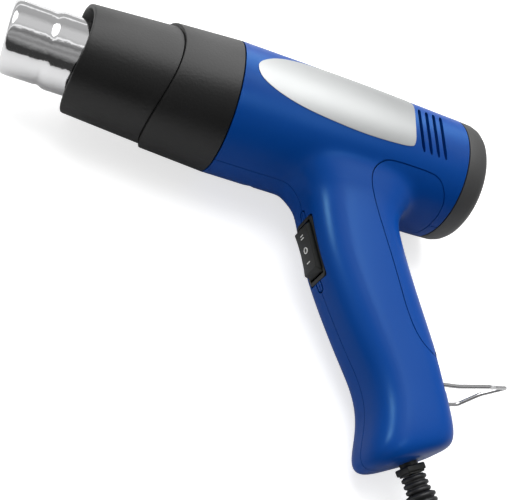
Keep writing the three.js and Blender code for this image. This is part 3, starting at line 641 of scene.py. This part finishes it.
def make_world():
    """A light room behind the tool, a dark one in front of it and strips of lamps, seen as plain white."""
    world = bpy.data.worlds.new("studio")
    bpy.context.scene.world = world
    world.use_nodes = True
    tree = world.node_tree
    shade = tree.nodes["Background"]
    shade.inputs["Strength"].default_value = 1.0
    direction = add(tree, "ShaderNodeTexCoord")
    parts = add(tree, "ShaderNodeSeparateXYZ")
    angle = add(tree, "ShaderNodeMath", operation="ARCTAN2")
    share = add(tree, "ShaderNodeMath", operation="DIVIDE")
    share.inputs[1].default_value = math.pi
    ramp = add(tree, "ShaderNodeValToRGB")
    stops = ramp.color_ramp.elements
    while len(stops) < len(SKY):
        stops.new(0.5)
    for stop, (where, level) in zip(stops, SKY):
        stop.position = where
        stop.color = (level, level, level, 1)
    tree.links.new(direction.outputs["Generated"], parts.inputs[0])
    tree.links.new(parts.outputs["Z"], angle.inputs[0])
    tree.links.new(parts.outputs["Y"], angle.inputs[1])
    tree.links.new(angle.outputs[0], share.inputs[0])
    tree.links.new(share.outputs[0], ramp.inputs["Fac"])
    path = add(tree, "ShaderNodeLightPath")
    seen = add(tree, "ShaderNodeMix", data_type="RGBA")
    seen.inputs[7].default_value = WHITE
    tree.links.new(path.outputs["Is Camera Ray"], seen.inputs["Factor"])
    tree.links.new(ramp.outputs["Color"], seen.inputs[6])
    tree.links.new(seen.outputs[2], shade.inputs["Color"])


bpy.context.scene.view_settings.view_transform = "Standard"
make_camera()
make_world()
make_floor()
KEY = make_lamp("key", (-0.08, 0.47, 0.91), 1.2, 11)
BACK = make_lamp("back", (0.0, 1.0, 0.32), 0.6, 1.3)
SOFT_KEY = make_lamp("soft_key", (0.25, 0.50, 0.85), 1.2, 12.6, in_reflections=False)
SHEEN_LAMPS = [
    make_lamp(name, place_at, size, power, in_diffuse=False, tint=SHEEN_TINT)
    for name, place_at, size, power in (
        ("sheen_top", (0.28, 0.76, 0.62), 0.66, 7.6), ("sheen_low", (0.26, -0.28, 0.95), 0.35, 2.8),
        ("streak_front", STREAK_PLACE, 0.18, 8.0), ("streak_back", (0.32, 0.37, 0.91), 0.2, 1.4))
]
STAR = make_lamp("star", STREAK_PLACE, 0.62, 1.2, in_diffuse=False)
make_lamp("fill", (-0.3, -0.7, 0.45), 0.8, 1.2, in_reflections=False)


# Cord


def coil_height(turn):
    climb = min(max((turn - COIL_TURNS / 2) * 2 + 0.5, 0), 1)
    return CORD_R + FLOOR_CLEARANCE + climb * COIL_PITCH


def coil_points():
    points = []
    for i in range(int(COIL_TURNS * COIL_STEPS) + 1):
        turn = i / COIL_STEPS
        angle = -2 * math.pi * turn
        radius = COIL_INNER_R + abs(turn - COIL_TURNS / 2) * COIL_PITCH
        x = COIL_CENTRE[0] + radius * math.cos(angle)
        y = COIL_CENTRE[1] + radius * math.sin(angle)
        points.append((x, y, coil_height(turn)))
    return points


def cord_route():
    """The whole cord: out of the sleeve, down to the floor, round the coil and off to the plug."""
    sleeve_end = GLAND_FOOT + BOOT_LENGTH + GAP
    x = GLAND_PLACE[0] + sleeve_end * math.sin(GLAND_TURN)
    y = GLAND_PLACE[1] - sleeve_end * math.cos(GLAND_TURN)
    exit_at = tool_point(x, y, 0)
    along = (exit_at - tool_point(*GLAND_PLACE, 0)).normalized() * MM
    turns = coil_points()
    in_x, in_y, in_z = turns[0]
    out_x, out_y, out_z = turns[-1]
    start = exit_at - along * 3
    base = floor_point(0, 0, 0)
    from_exit = [(8, -20, 8.2), (14.5, -36, 5), (23, -54, 3.7)]
    start_x = (exit_at.x - base.x) / MM
    start_y = (exit_at.y - base.y) / MM
    lead = [floor_point(start_x + dx, start_y + dy, z) for dx, dy, z in from_exit]
    lead += [floor_point(in_x - 5, in_y + 34, 3.7), floor_point(in_x - 0.6, in_y + 18, in_z)]
    tail = [
        (out_x - 0.3, out_y + 11, out_z - 0.2),
        (out_x - 1.1, out_y + 25, out_z - 3),
        (out_x - 2.6, out_y + 38, out_z - 6.5),
        (out_x - 4.6, out_y + 47, out_z - 6.8),
        (out_x - 6.8, out_y + 56, 6.6),
        (out_x - 8.4, out_y + 63, 7.1),
        (out_x - 10, out_y + 71, 7.1),
    ]
    coil = [floor_point(*p) for p in turns]
    return exit_at, [start, exit_at, exit_at + along * 7.5, *lead, *coil, *(floor_point(*p) for p in tail)]


def make_cord():
    exit_at, route = cord_route()
    curve = bpy.data.curves.new("mains_cord", "CURVE")
    curve.dimensions = "3D"
    curve.bevel_depth = CORD_R * MM
    curve.bevel_resolution = 4
    curve.resolution_u = 4
    curve.use_fill_caps = True
    spline = curve.splines.new("BEZIER")
    spline.bezier_points.add(len(route) - 1)
    for point, where in zip(spline.bezier_points, route):
        point.co = where
        point.handle_left_type = "AUTO"
        point.handle_right_type = "AUTO"
    cord = bpy.data.objects.new("mains_cord", curve)
    bpy.context.scene.collection.objects.link(cord)
    wear(cord, RUBBER)
    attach(cord, "housing")
    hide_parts("cord_lead", "cord_coil")


make_cord()

# Housing


def skin_at(x):
    """Outside radius of the barrel at a place along it."""
    along = min(max((x - BARREL_X) / BARREL_LENGTH, 0), 1)
    return BARREL_R + (BARREL_END_R - BARREL_R) * along + BARREL_CROWN * math.sin(math.pi * along)


def barrel_solid(name, from_x, to_x, lift):
    steps = 12
    places = [from_x + (to_x - from_x) * i / steps for i in range(steps + 1)]
    return turned(name, [(from_x, 0), *((x, skin_at(x) + lift) for x in places)], FINE_SIDES)


def lofted(name, rows):
    """A square with well rounded corners, extruded from section to section down the handle."""
    bpy.ops.mesh.primitive_plane_add(size=2 * MM, rotation=(math.pi / 2, 0, 0))
    obj = named(name)
    bpy.ops.object.transform_apply(location=True, rotation=True, scale=True)
    start_edit(obj)
    bpy.ops.mesh.select_all(action="SELECT")
    bpy.ops.mesh.bevel(offset=HANDLE_CORNER * MM, segments=5, affect="VERTICES")
    x, y, depth, half, turn = 0, 0, 1, 1, 0
    for row, (front_x, front_y, back_x, back_y, next_half) in enumerate(rows):
        next_x = (front_x + back_x) / 2
        next_y = (front_y + back_y) / 2
        next_depth = math.hypot(back_x - front_x, back_y - front_y) / 2
        next_turn = math.atan2(back_y - front_y, back_x - front_x)
        step = ((next_x - x) * MM, (next_y - y) * MM, 0)
        if row:
            bpy.ops.mesh.extrude_region_move(TRANSFORM_OT_translate={"value": step})
        else:
            bpy.ops.transform.translate(value=step)
        centre = (next_x * MM, next_y * MM, 0)
        bpy.ops.transform.rotate(value=turn, orient_axis="Z", center_override=centre)
        share = (next_depth / depth, 1, next_half / half)
        bpy.ops.transform.resize(value=share, center_override=centre)
        bpy.ops.transform.rotate(value=-next_turn, orient_axis="Z", center_override=centre)
        x, y, depth, half, turn = next_x, next_y, next_depth, next_half, next_turn
    end_edit()
    face_out(obj)
    use_modifier(obj, "SUBSURF", levels=2, render_levels=2)
    return obj


def inner_rows():
    """The handle's sections taken in by the wall, without the last one."""
    rows = []
    for front_x, front_y, back_x, back_y, half in HANDLE_SECTIONS[:-1]:
        depth = math.hypot(back_x - front_x, back_y - front_y)
        share = WALL / depth
        dx, dy = (back_x - front_x) * share, (back_y - front_y) * share
        rows.append((front_x + dx, front_y + dy, back_x - dx, back_y - dy, half - WALL))
    front_x, front_y, back_x, back_y, half = rows[-1]
    rows[-1] = (front_x, front_y + WALL, back_x, back_y + WALL, half)
    return rows


def by_the_join(place_at, item):
    """Whether a point of the skin lies where the handle leaves the barrel."""
    radius = math.hypot(place_at.y, place_at.z)
    return abs(radius - BARREL_R) < JOIN_DEPTH and -40 < place_at.y < -8 and 84 < place_at.x < 166


def switch_placed(obj):
    return place(obj, SWITCH_X, SWITCH_Y, SWITCH_RAKE)


def gland_placed(obj):
    return place(obj, *GLAND_PLACE, GLAND_TURN)


def grip_seam(inset):
    """The grip's side outline, taken in by the gap on its own side of the seam."""
    outline = []
    rounded = corner_cut(GRIP_OUTLINE)
    for i, (x, y) in enumerate(rounded):
        before_x, before_y = rounded[i - 1]
        after_x, after_y = rounded[(i + 1) % len(rounded)]
        length = math.hypot(after_x - before_x, after_y - before_y)
        out_x = inset * (after_y - before_y) / length
        out_y = -inset * (after_x - before_x) / length
        outline.append((x + out_x, y + out_y))
    return side_plate("seam", outline, -60, 60)


def vent_slot(x, side):
    """A slot's cutting body, bowed forward at its middle, leaning forward at its top, with round ends."""
    front = []
    back = []
    steps = 12
    for i in range(steps + 1):
        share = 2 * i / steps - 1
        middle = x + SLOT_BOW * share ** 2 - SLOT_LEAN * share
        half = SLOT_WIDTH / 2 * (0.5 if abs(share) == 1 else 1)
        y = SLOT_MIDDLE_Y + share * SLOT_LENGTH / 2
        back.append((middle + half, y))
        front.insert(0, (middle - half, y))
    near, far = sorted((side * 23, side * 33))
    return side_plate("slot", back + front, near, far)


def housing_skin():
    """The whole hollow housing, before it is split."""
    skin = barrel_solid("skin", BARREL_X - 4, CAP_X + 4, 0)
    carve(skin, lofted("handle", HANDLE_SECTIONS), "UNION")
    use_modifier(skin, "REMESH", mode="VOXEL", voxel_size=SKIN_GRAIN * MM)
    start_edit(skin)
    bpy.ops.mesh.select_all(action="SELECT")
    bpy.ops.mesh.vertices_smooth(factor=0.5, repeat=SKIN_PASSES)
    choose(skin, "VERT", by_the_join)
    bpy.ops.mesh.vertices_smooth(factor=0.5, repeat=JOIN_PASSES)
    end_edit()
    middle = (BARREL_X + CAP_X) / 2
    carve(skin, block("length", (middle, -60, 0), (BARREL_LENGTH, 300, 100)), "INTERSECT")
    bore = [(BARREL_X - 1, 0), (BARREL_X - 1, BARREL_R - WALL), (CAP_X + 1, BARREL_END_R - WALL)]
    carve(skin, turned("bore", bore))
    carve(skin, lofted("hollow", inner_rows()))
    hole = (20, BEZEL_LENGTH + 2 * GAP, BEZEL_WIDTH + 2 * GAP)
    carve(skin, switch_placed(block("bezel_hole", (3, 0, 0), hole, 1.2)))
    pocket = slab("pocket", (-2.6, 0, 0), (10, POCKET_LENGTH, POCKET_WIDTH), 0.45 * POCKET_WIDTH)
    inner_length = POCKET_LENGTH - 2 * POCKET_LINE
    inner_width = POCKET_WIDTH - 2 * POCKET_LINE
    carve(pocket, slab("island", (-2.6, 0, 0), (12, inner_length, inner_width), 0.45 * inner_width))
    carve(skin, switch_placed(pocket))
    carve(skin, gland_placed(rod("gland_hole", "y", (0, 3, 0), GLAND_NECK_R + GAP, 12)))
    for side in (-1, 1):
        for i in range(SLOT_COUNT):
            carve(skin, vent_slot(SLOT_FRONT_X + i * SLOT_PITCH, side))
        slot = (*STAND_SLOT, side * STAND_HALF_WIDTH)
        slot_size = (STAND_SLOT_REACH, STAND_SLOT_REACH, STAND_SLOT_WIDTH)
        carve(skin, block("stand_slot", slot, slot_size, 0.6))
    for x, y, half in SCREW_SPOTS:
        recess = (x, y, -half - 3)
        carve(skin, rod("screw_hole", "z", recess, SCREW_HEAD_R + GAP, 2 * SCREW_RECESS + 6))
    return skin


def make_housing():
    skin = housing_skin()
    shells = [skin]
    reach = 300
    for name, side in (("housing_left", 1), ("housing_right", -1)):
        half = copied(skin, "shell_left" if side > 0 else "shell_right")
        other = (0, 0, side * (GAP - reach) / 2)
        carve(half, block("other", other, (2 * reach, 2 * reach, reach)))
        carve(half, grip_seam(0))
        smooth(half)
        shells.append(fit(half, "housing", BLUE, "blue_plastic", name))
    skin.name = "grip_shell"
    carve(skin, grip_seam(GRIP_GAP), "INTERSECT")
    smooth(skin)
    fit(skin, "housing", BLUE, "blue_plastic", "grip_back")
    return shells


# Collar, outlet tube, cap and nameplate


def waved(obj, start, end, start_wave, end_wave):
    """Pulls a ring's columns of points back at its sides and forward above and below."""
    slope = (end_wave - start_wave) / (end - start)
    still = start - start_wave / slope

    def wave_of(place_at):
        return math.cos(2 * math.atan2(place_at.y, place_at.z))

    levels = {round(wave_of(vertex.co), 4) for vertex in obj.data.vertices}
    start_edit(obj)
    for level in levels:
        choose(obj, "VERT", lambda p, item: start - 0.1 < p.x < end + 0.1 and abs(wave_of(p) - level) < 1e-3)
        share = 1 + slope * level
        bpy.ops.transform.resize(value=(share, 1, 1), center_override=(still * MM, 0, 0))
    end_edit()


def make_rings():
    start = FRONT_RING_START
    end = FRONT_RING_END
    inner = FRONT_RING_MOUTH_R - RING_WALL
    front = turned("collar_front", [
        (start + 1.0, FRONT_RING_MOUTH_R), (end, FRONT_RING_END_R), (end, FRONT_RING_END_R - RING_WALL),
        (start + 0.8, inner), (start + 0.2, inner + 0.3), (start, inner + 0.9),
        (start, FRONT_RING_MOUTH_R - 0.9), (start + 0.3, FRONT_RING_MOUTH_R - 0.3)], FINE_SIDES)
    waved(front, start, end, MOUTH_WAVE, SEAM_WAVE)
    smooth(front, 40)
    fit(front, "housing", CHARCOAL, "charcoal_plastic", "guard_ring_front")
    start = REAR_RING_X
    end = REAR_RING_X + REAR_RING_LENGTH - GAP
    spigot = BARREL_R - WALL - 0.4
    rear = turned("collar_rear", [
        (start, REAR_RING_START_R - 0.7), (start + 0.2, REAR_RING_START_R - 0.2),
        (start + 0.7, REAR_RING_START_R), (end - 0.4, BARREL_R - 0.05), (end, BARREL_R - 0.4),
        (end, spigot), (end + RING_SPIGOT_REACH, spigot), (end + RING_SPIGOT_REACH, spigot - 2),
        (start + 2, REAR_RING_START_R - RING_WALL), (start + 2, RING_FLANGE_BORE_R),
        (start, RING_FLANGE_BORE_R)], FINE_SIDES)
    waved(rear, start, end, SEAM_WAVE, 0)
    smooth(rear, 40)
    fit(rear, "housing", CHARCOAL, "charcoal_plastic", "guard_ring_rear")


def make_outlet():
    lip = -NOZZLE_REACH
    shoulder = NOZZLE_SHOULDER_X
    flange = BARREL_X + 6.4
    rise = NOZZLE_NECK_R - NOZZLE_R
    mouth = NOZZLE_R - 2.6
    tube = turned("outlet", [
        (lip + 0.15, NOZZLE_R - 1.4), (lip + 0.6, NOZZLE_R - 0.85), (lip + 1.2, NOZZLE_R - 0.45),
        (lip + 2.1, NOZZLE_R - 0.15), (lip + 3.4, NOZZLE_R), (shoulder - 1.4, NOZZLE_R),
        (shoulder - 0.7, NOZZLE_R - 0.1), (shoulder, NOZZLE_R - 0.28), (shoulder + 0.4, NOZZLE_R - 0.22),
        (shoulder + 1.6, NOZZLE_R + 0.35 * rise), (shoulder + 2.5, NOZZLE_R + 0.75 * rise),
        (shoulder + 3.4, NOZZLE_R + 0.95 * rise), (shoulder + 4.4, NOZZLE_NECK_R),
        (flange, NOZZLE_NECK_R), (flange, NOZZLE_FLANGE_R), (flange + 1.5, NOZZLE_FLANGE_R),
        (flange + 1.5, NOZZLE_NECK_R), (NOZZLE_TAIL_X, NOZZLE_NECK_R),
        (NOZZLE_TAIL_X, NOZZLE_NECK_R - NOZZLE_SHEET), (shoulder + 3, NOZZLE_NECK_R - NOZZLE_SHEET),
        (shoulder, NOZZLE_R - NOZZLE_SHEET), (lip + 3.4, NOZZLE_R - NOZZLE_SHEET),
        (lip + 1.6, mouth + 0.1), (lip + 0.8, mouth), (lip + 0.2, mouth + 0.3), (lip, mouth + 0.8)],
        FINE_SIDES)
    smooth(tube, 50)
    fit(tube, "housing", CHROME, "chrome_steel", "nozzle")
    return tube


def make_cap():
    inner = BARREL_END_R - WALL - 0.4
    cap = turned("cap", [
        (CAP_X + CAP_SEAM, BARREL_END_R - 0.05), (CAP_X + CAP_SEAM + 0.2, BARREL_END_R),
        (CAP_X + 7, BARREL_END_R - 0.2), (CAP_X + 9.2, BARREL_END_R - 0.8),
        (CAP_X + 10.9, BARREL_END_R - 1.9), (CAP_X + 12, BARREL_END_R - 3.3),
        (CAP_X + CAP_LENGTH, BARREL_END_R - 4.8), (CAP_X + CAP_LENGTH, 4),
        (CAP_X + CAP_LENGTH - CAP_END_SHEET, 4),
        (CAP_X + CAP_LENGTH - CAP_END_SHEET, BARREL_END_R - 5),
        (CAP_X + CAP_SEAM, BARREL_END_R - 2.8), (CAP_X - 5, inner - 2), (CAP_X - 5, inner),
        (CAP_X + CAP_SEAM, inner)], FINE_SIDES)
    hub_x = CAP_X + CAP_LENGTH - CAP_END_SHEET / 2
    carve(cap, rod("hub", "x", (hub_x, 0, 0), CAP_HUB_R, CAP_END_SHEET, 48), "UNION")
    for i in range(-CAP_SLOT_STEPS, CAP_SLOT_STEPS + 1):
        y = CAP_SLOT_PITCH * i
        reach = math.sqrt(CAP_SLOT_FIELD_R ** 2 - y ** 2)
        size = (8, CAP_SLOT_WIDTH, reach - CAP_SLOT_BRIDGE)
        for side in (-1, 1):
            spot = (CAP_X + CAP_LENGTH, y, side * (reach / 2 + CAP_SLOT_BRIDGE / 2))
            carve(cap, block("cap_slot", spot, size, 1.2))
    smooth(cap, 30)
    fit(cap, "housing", CAP_GREY, "charcoal_plastic", "rear_cap")


def make_nameplates():
    for name, side in (("nameplate_left", 1), ("nameplate_right", -1)):
        sheet_name = "plate_left" if side > 0 else "plate_right"
        plate = barrel_solid(sheet_name, BARREL_X, CAP_X, PLATE_LIFT + PLATE_SHEET)
        carve(plate, barrel_solid("under", BARREL_X - 1, CAP_X + 1, PLATE_LIFT))
        near, far = sorted((side * 5, side * 60))
        carve(plate, side_plate("edge", corner_cut(PLATE_OUTLINE), near, far), "INTERSECT")
        smooth(plate)
        fit(plate, "housing", FOIL, "silver_foil", name)


# Switch


def make_switch():
    frame_part = slab("switch_frame", (0, 0, 0), (BEZEL_THICKNESS, BEZEL_LENGTH, BEZEL_WIDTH), BEZEL_CORNER)
    soften(frame_part, 0.4, 2, 60)
    depth = SWITCH_DEPTH - 0.4
    size = (depth, BEZEL_LENGTH - 3.4, BEZEL_WIDTH - 2.2)
    carve(frame_part, block("switch_case", (depth / 2 + 0.4, 0, 0), size), "UNION")
    well = (16, ROCKER_LENGTH + 1.6, ROCKER_WIDTH + 0.6)
    carve(frame_part, block("well", (0, 0, 0), well))
    smooth(frame_part)
    fit(switch_placed(frame_part), "housing", BLACK, "black_plastic", "switch_body")
    half = ROCKER_LENGTH / 2
    outline = [(-ROCKER_PROUD, half - 2), (-ROCKER_PROUD + 0.45, half / 2), (-ROCKER_PROUD + 0.7, 0),
               (-ROCKER_PROUD + 0.45, -half / 2), (-ROCKER_PROUD, -half + 2), (-0.4, -half), (4.6, -4),
               (4.6, 4), (-0.4, half)]
    rocker = side_plate("rocker", outline, -ROCKER_WIDTH / 2, ROCKER_WIDTH / 2)
    soften(rocker, 0.45, 3, 20)
    smooth(rocker)
    fit(switch_placed(rocker), "rocker", BLACK, "black_plastic", "switch_rocker")
    make_marks()
    return [frame_part, rocker]


def make_marks():
    """The switch marks, laid on the rocker's face: two short bars, a ring and one bar."""
    face = -ROCKER_PROUD + 0.5
    for name, up in MARK_BARS:
        bar = block(name, (face - 0.12, up, 0), (0.3, MARK_LINE, MARK_LENGTH), 0.1)
        smooth(bar)
        fit(switch_placed(bar), "rocker", WHITE_INK, "ivory_plastic")
    ring = turned("mark_ring", [
        (face - 0.1, MARK_RING_R), (face + 0.4, MARK_RING_R), (face + 0.4, MARK_RING_R - 0.4),
        (face - 0.1, MARK_RING_R - 0.4)], 32)
    smooth(ring)
    fit(switch_placed(ring), "rocker", WHITE_INK, "ivory_plastic")


# Stand, gland and sleeve


def rounded_route(corners, radius):
    """Curve points along a bent wire: each corner is given a bend of about the radius."""
    points = []
    for i, corner in enumerate(corners):
        here = Vector(corner)
        if i in (0, len(corners) - 1):
            points.append((here, None))
            continue
        back = (Vector(corners[i - 1]) - here).normalized() * radius
        ahead = (Vector(corners[i + 1]) - here).normalized() * radius
        points.append((here + back, here + back * 0.45))
        points.append((here + ahead, here + ahead * 0.45))
    return points


def make_stand():
    leg = [(STAND_PIVOT_X + back, STAND_PIVOT_Y + up, half) for back, up, half in STAND_LEG]
    other_leg = [(x, y, -half) for x, y, half in reversed(leg[:-1])]
    route = rounded_route([*leg, *other_leg], STAND_BEND)
    curve = bpy.data.curves.new("stand_wire", "CURVE")
    curve.dimensions = "3D"
    curve.bevel_depth = STAND_WIRE_R * MM
    curve.bevel_resolution = 4
    curve.resolution_u = 5
    curve.use_fill_caps = True
    spline = curve.splines.new("BEZIER")
    spline.bezier_points.add(len(route) - 1)
    for i, (point, (where, handle)) in enumerate(zip(spline.bezier_points, route)):
        point.co = where * MM
        point.handle_left_type = "FREE"
        point.handle_right_type = "FREE"
        bend_follows = i % 2 == 1
        inward = (handle or where) * MM
        point.handle_left = where * MM if bend_follows else inward
        point.handle_right = inward if bend_follows else where * MM
    wire = bpy.data.objects.new("stand_wire", curve)
    bpy.context.scene.collection.objects.link(wire)
    pick(wire)
    bpy.ops.object.convert(target="MESH")
    face_out(wire)
    smooth(wire, 50)
    fit(wire, "stand", WIRE, "plain_steel", "wire_stand")


def make_gland():
    gland = block("gland", (0, -1.55, 0), GLAND_NUT, 0.5)
    carve(gland, block("step", (0, -3.1, 0), GLAND_STEP, 0.3), "UNION")
    carve(gland, rod("neck", "y", (0, 2, 0), GLAND_NECK_R, 11), "UNION")
    smooth(gland)
    fit(gland_placed(gland), "housing", BLACK, "black_plastic", "cord_gland")


def make_sleeve():
    """The ribbed bend guard: a round bar turned along y, its ribs cut rib by rib."""
    pitch = BOOT_LENGTH / BOOT_RIBS
    profile = [(0, 0), (0, BOOT_NECK_R - 0.9)]
    for i in range(BOOT_RIBS):
        radius = BOOT_NECK_R if i < BOOT_NECK_RIBS else BOOT_R - 1.6 * i / BOOT_RIBS
        start = i * pitch
        profile += [(start + 0.08 * pitch, radius - 0.9), (start + 0.25 * pitch, radius - 0.15),
                    (start + 0.5 * pitch, radius), (start + 0.75 * pitch, radius - 0.15),
                    (start + 0.92 * pitch, radius - 0.9)]
    profile += [(BOOT_LENGTH, BOOT_R - 2.2), (BOOT_LENGTH, 0)]
    sleeve = turned("sleeve", profile, 48)
    place(sleeve, 0, -GLAND_FOOT, -math.pi / 2)
    smooth(sleeve, 50)
    fit(gland_placed(sleeve), "housing", RUBBER, "black_rubber", "cord_boot")


def make_screws():
    for i, (x, y, half) in enumerate(SCREW_SPOTS):
        top = -half + SCREW_RECESS
        head_z = top - GAP - SCREW_HEAD_HEIGHT / 2
        head = rod(f"screw_{i + 1}", "z", (x, y, head_z), SCREW_HEAD_R, SCREW_HEAD_HEIGHT)
        soften(head, 0.4, 2)
        shank = rod("shank", "z", (x, y, -2.6), SCREW_SHANK_R, 2 * half - 9.2, 24)
        carve(head, shank, "UNION")
        for turn in (0, math.pi / 2):
            driver = block("driver", (0, 0, top - 1.9), SCREW_DRIVER)
            carve(head, place(driver, x, y, turn + 0.4 + i))
        smooth(head)
        fit(head, "housing", STEEL, "plain_steel", f"housing_screw_{i + 1}")


shells = make_housing()
make_rings()
outlet = make_outlet()
make_cap()
make_nameplates()
switch_parts = make_switch()
make_stand()
make_gland()
make_sleeve()
make_screws()

link_light(KEY, [outlet, *shells, *switch_parts], "EXCLUDE")
link_light(BACK, [outlet], "EXCLUDE")
link_light(SOFT_KEY, [*shells, *switch_parts], "INCLUDE")
for lamp in SHEEN_LAMPS:
    link_light(lamp, shells, "INCLUDE")
link_light(STAR, [outlet], "INCLUDE")

# Finishes of the CAD pieces

CAD_FINISHES = {
    BLACK: ["smoothing_capacitor", "stand_hinge"],
    RUBBER: ["cord_inside", "plug_body"],
    DULL_STEEL: ["motor_can"],
    STEEL: ["motor_shaft", "heater_winding", "thermal_cutout", "clamp_screw_1",
            "clamp_screw_2"],
    COPPER: ["motor_armature"],
    BRASS: ["motor_bearing_front", "motor_bearing_rear", "plug_pin_1", "plug_pin_2",
            *(f"switch_terminal_{i}" for i in range(1, 4))],
    MICA: ["heater_cross", "heater_sleeve", "heater_disc", "heater_base"],
    BOARD: ["rectifier_board"],
    IVORY: ["motor_bracket", "fan", "clamp_plate"],
    BROWN: ["lead_supply"],
    LEAD_BLUE: ["lead_heater"],
    LEAD_RED: ["lead_motor"],
}
for material, node_names in CAD_FINISHES.items():
    for node_name in node_names:
        wear(frame["nodes"][node_name], material)
